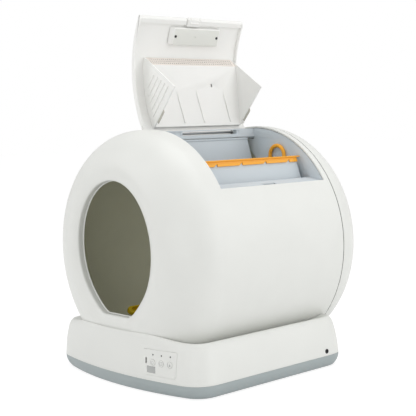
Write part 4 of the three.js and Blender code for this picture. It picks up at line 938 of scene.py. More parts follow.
def make_rake():
    front, rear = RAKE_Y
    top, bottom, half = AXIS_Z - RAKE_BAR[0], AXIS_Z - RAKE_BAR[1], RAKE_BAR[2]
    tip, root = AXIS_Z - RAKE_TIP, top - TINE_ROOT
    rows = [(inset, bottom + rise) for inset, rise in RAKE_ROUNDING]
    rows += [(inset, top - rise) for inset, rise in RAKE_ROUNDING[::-1]]
    rake = form("rake_form", [oval(half - inset, front + inset, rear - inset, z) for inset, z in rows],
                capped=True)
    slot_half, slot_front, slot_rear, low, high = RAKE_SLOT
    slot = [oval(slot_half, slot_front, slot_rear, z) for z in (top + low, top + high)]
    cut(rake, form("slot", slot, capped=True))
    pitch = (RAKE_ARM_Y - front - TINE_ROOM) / TINES
    for i in range(1, TINES + 1):
        y0, y1 = (front + i * pitch + side for side in TINE_Y)
        tine = slab("tine", [(-2, root), (-4, tip), (2, tip), (4, root)], y0, y1)
        merge(rake, soften(tine, "tine"))
    hub_y, hub_r, hub_length = HUB
    foot = bottom + 2
    arm = slab("arm", [(-hub_r, AXIS_Z), (-ARM_FOOT_HALF, foot), (ARM_FOOT_HALF, foot), (hub_r, AXIS_Z)],
               RAKE_ARM_Y, rear)
    wide, drop, narrow, window_y = ARM_WINDOW
    high, low = AXIS_Z - drop, top + OVER
    window = slab("window", [(-wide, high), (-narrow, low), (narrow, low), (wide, high)],
                  window_y, hub_y)
    cut(arm, soften(window, "rake_window"))
    merge(arm, rod("hub", "Y", (0, hub_y, AXIS_Z), hub_r, hub_length, DISC_SIDES))
    soften(arm, "rake_arm")
    merge(rake, arm)
    merge(rake, rod("boss", "Y", (0, BOSS[0], AXIS_Z), BOSS[1], BOSS[2], DISC_SIDES))
    turn_piece(rake, (0, AXIS_Z), RAKE_REST_DEG)
    done(rake, rake_ochre, "rake_drive", "rake")


# Waste bay and what hangs and stands in it
# Share of the radius at the middle of one of the source's facets
FACET = math.cos(math.pi / 40)
BAY_R = (DRUM_R - DRUM_WALL) * FACET - SEAT_GAP
BAY_FRONT = OPEN_FRONT + SEAT_GAP
BAY_REAR = OPEN_REAR - SEAT_GAP


def make_bay():
    left, right, floor, left_top = TROUGH
    out = right + BAY_WALL
    wall = arc(BAY_R, *BAY_DEG) + [(out, LEDGE_IN_Z), (out, floor), (left, floor), (left, left_top),
                                   (OPEN_LEFT - BAY_LEFT_LAP, FLAP[1])]
    front, rear = BAY_FRONT - BAY_WALL, BAY_REAR + BAY_WALL
    end, tip = on_drum(BAY_R, BAY_DEG[1]), on_drum(BAY_R, OPEN_DEG)
    ledge = [(right, LEDGE_IN_Z), (right, LEDGE_IN_Z - BAY_WALL), (end[0] - BAY_WALL, end[1]), end, tip,
             (tip[0] - BAY_WALL, tip[1])]
    bay = slab("waste_bay_form", wall, front, BAY_FRONT)
    merge(bay, slab("rear_wall", wall, BAY_REAR, rear), slab("ledge", ledge, front, rear),
          box("right_wall", right, out, front, rear, floor, LEDGE_IN_Z - RIGHT_WALL_DROP),
          box("floor", left, out, front, rear, floor, floor + BAY_WALL),
          box("left_wall", left, left + BAY_WALL, front, rear, floor, left_top))
    beam = box("beam", BEAM[0], BEAM[1], front, rear, BEAM[2], BEAM[3])
    cut(beam, box("slot", BEAM[0] - OVER, BEAM[1] + OVER, *BEAM_SLOT))
    deep, out_by, inside = BEAM_DENT
    for y0, y1 in BEAM_DENTS:
        cut(beam, box("dent", BEAM[1] - deep, BEAM[1] + out_by, y0, y1, BEAM_SLOT[2] + inside,
                      BEAM_SLOT[3] - inside))
    merge(bay, beam)
    recess = box("recess", right + OVER, DRUM_R, LATCH_Y - LATCH_WIDTH / 2, LATCH_Y + LATCH_WIDTH / 2,
                 LEDGE_OUT_Z - LATCH_DEPTH, LEDGE_IN_Z + OVER)
    run, wide, top, inner_drop, outer_drop = LEDGE_GROOVE
    x0, x1 = right + run, right + run + wide
    groove = slab("groove", [(x0, top), (x0, LEDGE_IN_Z - inner_drop), (x1, LEDGE_IN_Z - outer_drop),
                             (x1, top)], BAY_FRONT, BAY_REAR)
    cut(bay, recess, groove, rod("pin_way", "Y", (HINGE[0], 0, HINGE[1]), PIN_WAY_R, LONG, BORE_SIDES),
        rod("flap_way", "Y", (FLAP[0], 0, FLAP[1]), FLAP_WAY_R, LONG, PIN_SIDES))
    soften(bay, "bay")
    done(bay, bay_grey, "housing", "waste_bay")


def make_flap():
    lean = math.radians(FLAP_LEAN_DEG)

    def spot(run, side):
        return (FLAP[0] + math.sin(lean) * run + math.cos(lean) * side,
                FLAP[1] - math.cos(lean) * run + math.sin(lean) * side)

    corners = ((0, FLAP_HALF), (0, -FLAP_HALF), (FLAP_LENGTH, -FLAP_HALF), (FLAP_LENGTH, FLAP_HALF))
    flap = slab("waste_flap_form", [spot(*corner) for corner in corners], *FLAP_Y)
    middle = (FLAP_Y[0] + FLAP_Y[1]) / 2
    merge(flap, rod("barrel", "Y", (FLAP[0], middle, FLAP[1]), FLAP_BARREL_R, FLAP_Y[1] - FLAP_Y[0],
                    PART_SIDES))
    rib = [spot(*corner) for corner in FLAP_RIB]
    merge(flap, *[slab("rib", rib, y, y + FLAP_RIB_WIDTH) for y in FLAP_RIB_YS])
    cut(flap, rod("pin_way", "Y", (FLAP[0], 0, FLAP[1]), FLAP_WAY_R, LONG, PIN_SIDES))
    soften(flap, "flap")
    done(flap, bay_grey, "flap", "waste_flap")


def lean_x(z):
    return BIN_LEAN[0] + (BIN_LEAN[1] - z) * BIN_LEAN[2] / BIN_LEAN[3]


def bin_section(inset, top):
    knee = BIN_LEAN[1] - (BIN_X[1] - BIN_LEAN[0]) * BIN_LEAN[3] / BIN_LEAN[2]
    left, right, floor = BIN_X[0] + inset, BIN_X[1] - inset, BIN_FLOOR + inset
    return [(left, floor), (right, floor), (right, knee), (lean_x(top) - inset, top), (left, top)]


def make_bin():
    left_top, end_top, right_top = BIN_TOPS
    high = right_top + OVER
    body = slab("waste_bin_form", bin_section(0, right_top), *BIN_Y)
    cut(body, slab("hollow", bin_section(BIN_WALL, high), BIN_Y[0] + BIN_WALL, BIN_Y[1] - BIN_WALL),
        box("left_trim", 0, BIN_X[0] + BIN_WALL, *BIN_TRIM_Y, left_top, high),
        box("end_trim", 0, lean_x(end_top) - BIN_WALL, *BIN_TRIM_Y, end_top, high))
    ear_in = HANDLE_HALF + HANDLE_TUBE / 2 + SEAT_GAP
    for wall_y, pivot_y, out in ((BIN_Y[1], HANDLE_YS["rear"], 1), (BIN_Y[0], HANDLE_YS["front"], -1)):
        ys = sorted((wall_y - out * BIN_WALL, pivot_y + out * 3))
        for side in (-1, 1):
            xs = sorted((HANDLE_X + side * ear_in, HANDLE_X + side * (ear_in + EAR_WIDTH)))
            merge(body, box("ear", *xs, *ys, end_top - EAR_DROP, HANDLE_Z + 3))
        cut(body, rod("pin_way", "X", (HANDLE_X, pivot_y, HANDLE_Z), *HANDLE_WAY, PIN_SIDES))
    soften(body, "bin")
    done(body, bay_grey, "bin", "waste_bin")


def make_bar():
    low = BIN_TOPS[2] + SEAT_GAP
    bottom = low - BAR_DROP

    def outer_x(z):
        return lean_x(z) + SEAT_GAP

    half = BAR_TOP[0] / 2
    middle = low + BAR_TOP[1] / 2
    ends = (outer_x(middle), middle), (outer_x(bottom), bottom)
    bar = box("comb_bar_form", lean_x(low) - half, lean_x(low) + half, *BAR_Y, low, low + BAR_TOP[1])
    face = slab("face", [*ends, *[(x + BAR_FACE, z) for x, z in ends[::-1]]], BAR_Y[0], BIN_Y[1] + RUN_GAP)
    for i in range(NOTCHES):
        clear()
        bpy.ops.mesh.primitive_cone_add(vertices=3, radius1=NOTCH_R * MM, radius2=NOTCH_R * MM,
                                        depth=NOTCH_DEPTH * MM, rotation=(0, math.pi / 2, math.pi),
                                        location=at(outer_x(bottom), NOTCH_FIRST - i * NOTCH_PITCH, bottom))
        cut(face, settle("notch"))
    merge(bar, face)
    count, first, pitch, wide, inner, outer, high = BAR_DENTS
    for i in range(count):
        y = first - i * pitch
        cut(bar, box("dent", lean_x(low) + inner, lean_x(low) + outer, y, y + wide, low + inner,
                     low + high))
    soften(bar, "bar")
    done(bar, orange, "bin", "comb_bar")


def tube(name, path, radius, sides=24):
    """A round tube along a path in an X-Z plane."""
    rings = []
    for k, point in enumerate(path):
        before, after = path[max(k - 1, 0)], path[min(k + 1, len(path) - 1)]
        run = Vector(after) - Vector(before)
        run.normalize()
        side = Vector((0, 1, 0))
        up = run.cross(side)
        ring = []
        for i in range(sides):
            turn = 2 * math.pi * i / sides
            ring.append(tuple(Vector(point) + side * radius * math.cos(turn) + up * radius * math.sin(turn)))
        rings.append(ring)
    return form(name, rings, capped=True)


def make_handle(place):
    y = HANDLE_YS[place]
    radius = HANDLE_TUBE / 2
    leg_top = HANDLE_Z + HANDLE_RISE - HANDLE_HALF
    path = [(HANDLE_X - HANDLE_HALF, y, HANDLE_Z)]
    for i in range(HANDLE_STEPS + 1):
        turn = math.pi * (1 - i / HANDLE_STEPS)
        path.append((HANDLE_X + HANDLE_HALF * math.cos(turn), y, leg_top + HANDLE_HALF * math.sin(turn)))
    path.append((HANDLE_X + HANDLE_HALF, y, HANDLE_Z))
    handle = tube("bin_handle_%s_form" % place, path, radius)
    pin_r, pin_reach = HANDLE_PIN
    reach = HANDLE_HALF + radius + pin_reach
    for side in (-1, 1):
        barrel = rod("barrel", "X", (HANDLE_X + side * HANDLE_HALF, y, HANDLE_Z), radius, HANDLE_TUBE,
                     BORE_SIDES)
        pin = rod("pin", "X", (HANDLE_X + side * (HANDLE_HALF + reach) / 2, y, HANDLE_Z), pin_r,
                  reach - HANDLE_HALF, PIN_SIDES)
        merge(handle, barrel, pin)
    done(handle, orange, place + "_handle", "bin_handle_" + place, SMOOTH_TUBE)


# Lid, modelled closed and then turned open
LID_FRONT = OPEN_FRONT + LID_GAP
LID_REAR = OPEN_REAR - LID_GAP
LID_END = OPEN_DEG - SEAT_GAP
LID_IN = DRUM_R - LID_WALL


def band(name, outer, inner, start, end, y0, y1, steps=64):
    return slab(name, arc(outer, start, end, steps) + arc(inner, start, end, steps)[::-1], y0, y1)


def make_lid():
    start = angle_at(DRUM_R, LID_LEFT)
    rim_start = angle_at(DRUM_R, BEAM[1] + RUN_GAP + RIM_DEPTH)
    edge_start = LID_END - math.degrees(EDGE_WIDTH / DRUM_R)
    rim_in = LID_IN - RIM_DEPTH
    skin = LID_IN + LID_WALL / 2
    shell = band("lid_shell_form", DRUM_R, LID_IN, start, LID_END, LID_FRONT, LID_REAR)
    merge(shell, band("rim", skin, rim_in, rim_start, LID_END, LID_FRONT, LID_FRONT + RIM_WIDTH),
          band("rim", skin, rim_in, rim_start, LID_END, LID_REAR - RIM_WIDTH, LID_REAR),
          band("edge", skin - EDGE_INSIDE[0], LID_IN - EDGE_DEPTH, edge_start, LID_END - EDGE_INSIDE[1],
               LID_FRONT + EDGE_INSIDE[2], LID_REAR - EDGE_INSIDE[2], EDGE_STEPS))
    x, z = HINGE
    top = on_drum(skin, angle_at(DRUM_R, x))[1]
    for y in ARM_YS:
        middle = y + ARM_WIDTH / 2
        arm = slab("arm", [(x - ARM_HALF, z), (x + ARM_HALF, z), (x + ARM_HALF, top),
                           (x - 2 * ARM_HALF, top - LID_WALL / 2)], y, y + ARM_WIDTH)
        merge(shell, arm, rod("eye", "Y", (x, middle, z), ARM_HALF, ARM_WIDTH, PART_SIDES))
        cut(shell, rod("pin_way", "Y", (x, middle, z), PIN_WAY_R, ARM_WIDTH + RUN_GAP, BORE_SIDES))
    half = LATCH_WIDTH / 2 + SEAT_GAP
    cut(shell, band("latch_room", LID_IN - SEAT_GAP, rim_in - 3, edge_start - 4, LID_END + 2, LATCH_Y - half,
                    LATCH_Y + half, EDGE_STEPS))
    inner, low, outer = LEDGE_ROOM
    high = LEDGE_IN_Z + SEAT_GAP
    slope = (LEDGE_IN_Z - LEDGE_OUT_Z) / (outer - inner)
    room = [(inner, high), (inner, low), (DRUM_R, low), (DRUM_R, high - (DRUM_R - inner) * slope)]
    cut(shell, slab("ledge_room", room, LID_FRONT - OVER, LID_REAR + OVER))
    soften(shell, "lid")
    lid_done(shell, lid_white, "lid_shell")


def make_chute():
    skin = LID_IN - SEAT_GAP
    high_deg, low_deg = angle_at(skin, CHUTE_HIGH[0]), angle_at(skin, CHUTE_LOW[0])
    wall = [CHUTE_HIGH, CHUTE_TIP, CHUTE_LOW] + arc(skin, low_deg, high_deg)
    high = on_drum(skin, high_deg)
    floor = [CHUTE_HIGH, VENT, CHUTE_LOW, (CHUTE_LOW[0], CHUTE_LOW[1] + CHUTE_WALL),
             (VENT[0], VENT[1] + CHUTE_WALL), (CHUTE_HIGH[0] - CHUTE_WALL, high[1]), high]
    chute = slab("lid_chute_form", wall, CHUTE_FRONT, CHUTE_FRONT + CHUTE_WALL)
    merge(chute, slab("rear_side", wall, CHUTE_REAR - CHUTE_WALL, CHUTE_REAR),
          slab("floor", floor, CHUTE_FRONT, CHUTE_REAR))

    # Slanted ribs on the front side
    edge = Vector(CHUTE_TIP) - Vector(CHUTE_LOW)
    run_dir = edge.normalized()
    side_dir = Vector((-run_dir.y, run_dir.x))
    pitch = (CHUTE_HIGH[0] - CHUTE_TIP[0]) / SIDE_RIB_SPACES
    for i in range(1, SIDE_RIBS + 1):
        step = i * pitch
        start = Vector((CHUTE_LOW[0] + step + SIDE_RIB_SHIFT, CHUTE_LOW[1] - step / 4 - SIDE_RIB_SHIFT))
        run = edge.length * (SIDE_RIB_SHARES[0] - SIDE_RIB_SHARES[1] * i / SIDE_RIB_SPACES)
        end, aside = start + run_dir * run, side_dir * SIDE_RIB_WIDTH
        corners = [tuple(corner) for corner in (start, end, end + aside, start + aside)]
        merge(chute, slab("rib", corners, CHUTE_FRONT - 2, CHUTE_FRONT + CHUTE_WALL / 2))

    # Ribs and a hole on the floor
    down = (Vector(VENT) - Vector(CHUTE_LOW)).normalized()
    under = Vector((down.y, -down.x))
    ends = [tuple(Vector(CHUTE_LOW) + down * run + under * drop) for run, drop in FLOOR_RIB_SECTION]
    for y, shift in FLOOR_RIBS:
        sides = [[(x, side + (shift if i > 1 else 0), z) for i, (x, z) in enumerate(ends)]
                 for side in (y, y + FLOOR_RIB_WIDTH)]
        merge(chute, form("floor_rib", sides, capped=True))
    run, half, y0, y1 = FLOOR_HOLE
    x, z = Vector(CHUTE_LOW) + down * run
    cut(chute, box("hole", x - half, x + half, y0, y1, z - OVER / 2, z + OVER / 2))
    soften(chute, "chute")

    # Vent slots, in a strip of its own tint
    across = (Vector(CHUTE_HIGH) - Vector(VENT)).normalized()
    rows, inset, row_pitch, length = VENT_ROWS
    columns, first, column_pitch, width = VENT_COLUMNS
    low, high = VENT_CUT
    slots = []
    for row in range(rows):
        x0, z0 = Vector(VENT) + across * (inset + row_pitch * row)
        x1, z1 = Vector((x0, z0)) + across * length
        section = [(x0, z0 + low), (x0, z0 + high), (x1, z1 + high), (x1, z1 + low)]
        for i in range(columns):
            y = CHUTE_FRONT + first + i * column_pitch
            slots.append(slab("vent", section, y, y + width))
    cut(chute, join("vents", *slots))
    strip_low, strip_high = VENT[0] + VENT_STRIP[0], CHUTE_HIGH[0] - VENT_STRIP[1]

    def in_strip(face):
        inside = abs(face.normal.y) < STRIP_NORMAL and face.center.z < VENT_TOP * MM
        return inside and strip_low * MM < face.center.x < strip_high * MM

    paint(chute, lid_white, vent_beige, in_strip)
    lid_done(chute, lid_white, "lid_chute")


def make_seals():
    corners = []
    for share, drop in zip(SEAL_SHARES, (SEAT_GAP, SEAT_GAP, SEAL_DEPTH, SEAL_DEPTH)):
        corners.append((CHUTE_TIP[0] + (CHUTE_LOW[0] - CHUTE_TIP[0]) * share - drop,
                        CHUTE_TIP[1] + (CHUTE_LOW[1] - CHUTE_TIP[1]) * share))
    for place, y0 in (("front", CHUTE_FRONT), ("rear", CHUTE_REAR - CHUTE_WALL)):
        seal = slab("chute_seal_%s_strip" % place, corners, y0, y0 + CHUTE_WALL)
        soften(seal, "seal")
        lid_done(seal, seal_grey, "chute_seal_" + place)


def filter_points(inset, base_r, face_r):
    rings = []
    for radius, length in ((base_r, FILTER_BASE), (face_r, FILTER_FACE)):
        chamfer = (FILTER_BASE - length) * CHAMFER_SHARE
        inset_deg = math.degrees((inset + chamfer / 2) / DRUM_R)
        ring = []
        for degrees, share in ((FILTER_DEG[0] + inset_deg, 1),
                               (FILTER_DEG[1] - inset_deg, 1 - chamfer / FILTER_BASE)):
            x, z = on_drum(radius, degrees)
            half = length / 2 * share - inset
            ring.append([(x, FILTER_Y - half, z), (x, FILTER_Y + half, z)])
        rings.append([ring[0][0], ring[0][1], ring[1][1], ring[1][0]])
    return rings


def radial_rod(name, y, from_r, to_r, radius, sides=PART_SIDES):
    """A cylinder that points out from the drum's axis through the filter box."""
    x, z = on_drum((from_r + to_r) / 2, FILTER_MIDDLE)
    clear()
    bpy.ops.mesh.primitive_cylinder_add(vertices=sides, radius=radius * MM, depth=(to_r - from_r) * MM,
                                        location=at(x, y, z), rotation=(0, math.radians(FILTER_MIDDLE), 0))
    return settle(name)


def make_filter():
    base_r = LID_IN - SEAT_GAP
    face_r = base_r - FILTER_DEPTH
    under_r, out_r = face_r - OVER, base_r + OVER
    half = FILTER_SCREW_SPAN / 2
    places = (("front", FILTER_Y - half), ("rear", FILTER_Y + half))
    cover = form("filter_cover_form", filter_points(0, base_r, face_r), capped=True)
    soften(cover, "filter")
    cut(cover, form("hollow", filter_points(FILTER_WALL, out_r, face_r + FILTER_WALL), capped=True))
    for _, y in places:
        merge(cover, radial_rod("seat", y, face_r + 1, base_r, FILTER_SEAT_R))
        cut(cover, radial_rod("recess", y, under_r, face_r + FILTER_HEAD[1], FILTER_HEAD[0]),
            radial_rod("bore", y, under_r, out_r, SCREW_R, PIN_SIDES))
    cut(cover, radial_rod("dimple", FILTER_Y - DIMPLE[0], under_r, face_r + DIMPLE[2], DIMPLE[1], PIN_SIDES))
    facing = math.radians(FILTER_MIDDLE)
    inward = Vector((-math.sin(facing), 0, -math.cos(facing)))
    paint(cover, lid_white, filter_white, lambda face: face.normal.dot(inward) > FACE_NORMAL)
    lid_done(cover, lid_white, "filter_cover")
    head = face_r * math.cos(math.radians(FILTER_DEG[1] - FILTER_DEG[0]) / 2) - SEAT_GAP
    head_r, head_height, shank_r = FILTER_SCREW
    long, narrow, deep = CROSS
    for place, y in places:
        screw = radial_rod("filter_screw_%s_form" % place, y, head, head + head_height, head_r)
        soften(screw, "screw")
        merge(screw, radial_rod("shank", y, head + 1, base_r - RUN_GAP, shank_r, PIN_SIDES))
        x, z = on_drum(head, FILTER_MIDDLE)
        for wide, tall in ((long, narrow), (narrow, long)):
            clear()
            bpy.ops.mesh.primitive_cube_add(size=MM, location=at(x, y, z), rotation=(0, facing, 0),
                                            scale=(wide, tall, deep))
            cut(screw, settle("cross"))
        lid_done(screw, dark_plastic, "filter_screw_" + place)


def make_latch():
    edge = on_drum(LID_IN - SEAT_GAP, LID_END)
    turn = math.radians(LID_END)

    def spot(run, depth):
        return (edge[0] + math.cos(turn) * run - math.sin(turn) * depth,
                edge[1] - math.sin(turn) * run - math.cos(turn) * depth)

    back = -LATCH_LENGTH + LATCH_HOOK
    half = LATCH_WIDTH / 2 - LATCH_SIDE_GAP
    section = ((back, RUN_GAP), (back, LATCH_DEPTH), (-RUN_GAP, LATCH_DEPTH), (LATCH_HOOK, LATCH_DEPTH / 2),
               (LATCH_HOOK, RUN_GAP + LATCH_DEPTH / 4), (0, RUN_GAP))
    latch = slab("lid_latch_form", [spot(*place) for place in section], LATCH_Y - half, LATCH_Y + half)
    share, width, high, low, reach = LATCH_CUT
    for side in (-1, 1):
        y = LATCH_Y + side * half * share
        cut(latch, box("side_cut", edge[0] - reach, edge[0] + reach, y - width, y + width, spot(0, low)[1],
                       spot(0, high)[1]))
    grip = [spot(back + LATCH_HOOK, LATCH_DEPTH - 1), spot(back + 2 * LATCH_HOOK, LATCH_DEPTH + 2),
            spot(back + 3 * LATCH_HOOK, LATCH_DEPTH - 1)]
    merge(latch, slab("grip", grip, LATCH_Y - LATCH_WIDTH / 3, LATCH_Y + LATCH_WIDTH / 3))
    soften(latch, "latch")
    turn_piece(latch, HINGE, -LID_OPEN_DEG)
    done(latch, lid_white, "latch", "lid_latch")


def make_pins():
    middle = (BAY_FRONT + BAY_REAR) / 2
    length = BAY_REAR - BAY_FRONT + 2 * BAY_WALL
    for name, (x, z), radius, sides in (("lid_pin", HINGE, LID_PIN_R, PART_SIDES),
                                        ("flap_pin", FLAP, FLAP_PIN_R, BORE_SIDES)):
        pin = rod(name + "_form", "Y", (x, middle, z), radius, length, sides)
        soften(pin, name)
        done(pin, steel, "housing", name)


# Control panel on the front wall
def wall_lean(x, z):
    rim = rim_height(x, -1)
    share = (z - COVER_LOW) / (rim - COVER_LOW)
    for (lean_a, rise_a, _), (lean_b, rise_b, _) in zip(COVER_SECTION, COVER_SECTION[1:]):
        if rise_b >= share:
            return lean_a + (lean_b - lean_a) * (share - rise_a) / (rise_b - rise_a)
    return COVER_SECTION[-1][0]


def wall_y(x, z):
    lean = wall_lean(x, z)
    bow = FRONT_BOW + lean * (1 - WALL_FRONT_SHARE)
    return BASE_FRONT + lean * WALL_FRONT_SHARE + bow * (x / (BASE_W / 2 - lean)) ** 2


def panel_prism(grow):
    x0, x1, z0, z1 = PANEL
    x, z = (x0 + x1) / 2, (z0 + z1) / 2
    half_x, half_z = (x1 - x0) / 2 + grow - PANEL_CORNER, (z1 - z0) / 2 + grow - PANEL_CORNER
    points = []
    for quarter, (sx, sz) in enumerate(((1, 1), (-1, 1), (-1, -1), (1, -1))):
        for i in range(CORNER_STEPS + 1):
            turn = math.pi / 2 * (quarter + i / CORNER_STEPS)
            points.append((x + sx * half_x + PANEL_CORNER * math.cos(turn),
                           z + sz * half_z + PANEL_CORNER * math.sin(turn)))
    return slab("panel_prism", points, *WALL_DEPTH)


def wall_patch(name, x0, x1, z0, z1, out, depth, steps=24):
    """A piece of the front wall's surface, stood out and given a thickness."""
    rings = []
    for front in (True, False):
        rows = []
        for k in range(steps + 1):
            z = z0 + (z1 - z0) * k / steps
            rows.append([(x0 + (x1 - x0) * i / steps, z) for i in range(steps + 1)])
        rings.append([[(x, wall_y(x, z) - (out if front else -depth), z) for x, z in row] for row in rows])
    front, back = rings
    return form(name, [f + b[::-1] for f, b in zip(front, back)], capped=True)


def make_panel():
    x0, x1, z0, z1 = PANEL
    patch = wall_patch("control_panel_form", x0 - PANEL_EDGE, x1 + PANEL_EDGE, z0 - PANEL_EDGE,
                       z1 + PANEL_EDGE, *PANEL_OUT)
    boolean(patch, panel_prism(0), "INTERSECT")
    y0, y1 = WALL_DEPTH
    for x in KEY_XS:
        cut(patch, rod("key_way", "Y", (x, (y0 + y1) / 2, KEY_Z), KEY_R + KEY_GAP, y1 - y0),
            rod("lamp_way", "Y", (x, (y0 + y1) / 2, LAMP_Z), LAMP_R + LAMP_GAP, y1 - y0))
    x, z, wide, high = WINDOW
    half_x, half_z = wide / 2 + SEAT_GAP, high / 2 + SEAT_GAP
    cut(patch, box("window_way", x - half_x, x + half_x, y0, y1, z - half_z, z + half_z))
    x0, x1, down, up = SOUND_SLOT
    cut(patch, soften(box("sound_slot", x0, x1, y0, y1, KEY_Z + down, KEY_Z + up), "sound_slot"))
    soften(patch, "panel")
    done(patch, shell_white, "housing", "control_panel", SMOOTH_WALL)


def make_keys():
    flange_y, flange_out, flange_length = KEY_FLANGE
    for index, (name, x) in enumerate(zip(("power", "clean", "lock"), KEY_XS)):
        front = wall_y(x, KEY_Z) - KEY_PROUD
        key = rod(name + "_key_form", "Y", (x, front + KEY_LENGTH / 2, KEY_Z), KEY_R, KEY_LENGTH,
                  DISC_SIDES)
        soften(key, "key")
        merge(key, rod("flange", "Y", (x, front + flange_y, KEY_Z), KEY_R + flange_out, flange_length))
        key.data.materials.append(shell_white)
        mark = make_mark(name, x, front)
        mark.data.materials.append(symbol_grey)
        key = join(key.name, key, mark)
        done(key, shell_white, name + "_button", name + "_key")
        node = "status_light_%d" % (index + 1)
        lamp_front = wall_y(x, LAMP_Z) - LAMP_PROUD
        lens = rod(node + "_lens", "Y", (x, lamp_front + LAMP_LENGTH / 2, LAMP_Z), LAMP_R, LAMP_LENGTH,
                   BORE_SIDES)
        soften(lens, "status_light")
        done(lens, dark_plastic, "housing", node)


def arc_bar(x, z, radius, width, start, end, front):
    """A flat raised bar along an arc on a key's face."""
    steps = 40
    turns = [math.radians(start + (end - start) * i / steps) for i in range(steps + 1)]
    sides = [[(x + r * math.sin(t), z + r * math.cos(t)) for t in turns]
             for r in (radius + width / 2, radius - width / 2)]
    return slab("mark", sides[0] + sides[1][::-1], front + MARK_Y[0], front + MARK_Y[1])


def make_mark(name, x, front):
    """A generic sign on each key: a power sign, a turning arrow and a padlock."""
    y0, y1 = front + MARK_Y[0], front + MARK_Y[1]

    def bar(x0, x1, z0, z1):
        return box("mark", x + x0, x + x1, y0, y1, KEY_Z + z0, KEY_Z + z1)

    if name == "power":
        return join("mark", arc_bar(x, KEY_Z, *POWER_RING, front), bar(*POWER_BAR))
    if name == "clean":
        head = [(x + dx, KEY_Z + dz) for dx, dz in ARROW_HEAD]
        return join("mark", arc_bar(x, KEY_Z, *ARROW_RING, front), slab("mark", head, y0, y1))
    return join("mark", bar(*LOCK_BODY), arc_bar(x, KEY_Z + LOCK_RISE, *LOCK_BOW, front))


def make_window():
    x, z, wide, high = WINDOW
    patch = wall_patch("panel_window_form", x - wide / 2, x + wide / 2, z - high / 2, z + high / 2,
                       *WINDOW_OUT, WINDOW_STEPS)
    soften(patch, "window")
    done(patch, window_dark, "housing", "panel_window", SMOOTH_WALL)


def make_socket():
    y, z, radius, bore = SOCKET
    face = BASE_W / 2 - BASE_WALL / 2 + SOCKET_PROUD
    body = rod("power_socket_form", "X", (face - SOCKET_LENGTH / 2, y, z), radius, SOCKET_LENGTH, DISC_SIDES)
    cut(body, rod("bore", "X", (face, y, z), bore, SOCKET_BORE_LENGTH, PART_SIDES))
    soften(body, "socket")
    merge(body, rod("pin", "X", (face - SOCKET_PIN[0], y, z), 1, SOCKET_PIN[1], PIN_SIDES))
    done(body, dark_plastic, "housing", "power_socket", SMOOTH_WALL)


for build in (make_drum_shell, make_rear_cover, make_base_cover, make_tray, make_feet, make_pan, make_rake,
              make_bay, make_flap, make_bin, make_bar, make_lid, make_chute, make_seals, make_filter,
              make_latch, make_pins, make_panel, make_keys, make_window, make_socket):
    build()
for side in ("rear", "front"):
    make_handle(side)

# Pieces of the source that stay as they are, in their own finishes
for entry in frame["record"]["subparts"]:
    node = frame["nodes"][entry["node"]]
    node.data.materials.clear()
    node.data.materials.append(SLOT_MATERIALS[entry["material_slot"]])


# Floor: white to the camera, with a soft shadow
def make_floor():
    clear()
    bpy.ops.mesh.primitive_plane_add(size=FLOOR_SIZE, location=(0, 0, 0))
    floor = settle("floor")
    material = bpy.data.materials.new("floor_white")
    material.use_nodes = True
    tree = material.node_tree
    tree.nodes.remove(tree.nodes["Principled BSDF"])
    path = add_node(tree, "LightPath")
    seen = add_node(tree, "Math")
    seen.operation = "MAXIMUM"
    glow = add_node(tree, "Emission", Color=(1, 1, 1, 1), Strength=FLOOR_GLOW)
    pale = add_node(tree, "BsdfDiffuse", Color=FLOOR_PALE)
    plain = add_node(tree, "BsdfDiffuse", Color=FLOOR_PLAIN)
    add, mix = add_node(tree, "AddShader"), add_node(tree, "MixShader")
    wire(tree, (path.outputs["Is Camera Ray"], seen.inputs[0]),
         (path.outputs["Is Glossy Ray"], seen.inputs[1]), (glow.outputs[0], add.inputs[0]),
         (pale.outputs[0], add.inputs[1]), (seen.outputs[0], mix.inputs["Fac"]),
         (plain.outputs[0], mix.inputs[1]), (add.outputs[0], mix.inputs[2]),
         (mix.outputs[0], tree.nodes["Material Output"].inputs["Surface"]))
    floor.data.materials.append(material)


make_floor()

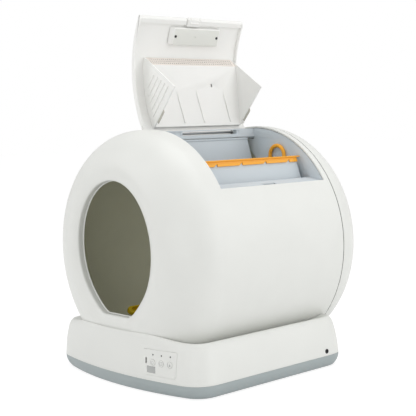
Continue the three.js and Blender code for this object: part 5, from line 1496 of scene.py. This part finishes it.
world = bpy.data.worlds.new("studio")
bpy.context.scene.world = world
world.use_nodes = True
studio = world.node_tree
sky = studio.nodes["Background"]
sky.inputs["Color"].default_value = (1, 1, 1, 1)
path = add_node(studio, "LightPath")
level = add_node(studio, "MapRange", To_Min=WORLD_LIGHT, To_Max=1.0)
wire(studio, (path.outputs["Is Camera Ray"], level.inputs["Value"]),
     (level.outputs["Result"], sky.inputs["Strength"]))


def lamp(name, place, aim, size, power):
    data = bpy.data.lights.new(name, "AREA")
    data.shape = "DISK"
    data.size = size
    data.energy = power
    light = bpy.data.objects.new(name, data)
    bpy.context.scene.collection.objects.link(light)
    light.location = place
    light.rotation_euler = (Vector(aim) - Vector(place)).to_track_quat("-Z", "Y").to_euler()


lamp("left_soft", (-1.6, -2.6, 2.2), (0, 0, 0.3), 2.2, 23)
lamp("right_soft", (2.7, 1.4, 1.5), (0, 0, 0.3), 2.4, 21)
lamp("front_soft", (1.2, -3.1, 0.8), (0, 0, 0.35), 1.6, 11)
lamp("inside_soft", (0.1, -0.02, 0.3), (-0.05, 0.17, 0.23), 0.06, 0.16)
lamp("low_soft", (2.4, 0.4, 0.1), (0, 0, 0.1), 1.0, 5)
lamp("top_soft", (0.4, 0.4, 3.2), (0, 0, 0.3), 2.6, 29)

camera_data = bpy.data.cameras.new("camera")
camera_data.lens = 82.0317
camera_data.sensor_width = 36
camera_data.clip_end = 100
camera = bpy.data.objects.new("camera", camera_data)
bpy.context.scene.collection.objects.link(camera)
bpy.context.scene.camera = camera
azimuth, elevation, roll = (math.radians(a) for a in (49.49, 4.37, -2.28))
back = Vector((math.sin(azimuth) * math.cos(elevation), -math.cos(azimuth) * math.cos(elevation),
               math.sin(elevation)))
level_right = Vector((math.cos(azimuth), math.sin(azimuth), 0))
level_up = back.cross(level_right)
right_axis = level_right * math.cos(roll) + level_up * math.sin(roll)
up_axis = level_up * math.cos(roll) - level_right * math.sin(roll)
rotation = Matrix((right_axis, up_axis, back)).transposed()
camera.matrix_world = Matrix.Translation((1.6372, -1.3846, 0.5163)) @ rotation.to_4x4()

bpy.context.scene.view_settings.view_transform = "Standard"

bpy.context.view_layer.update()
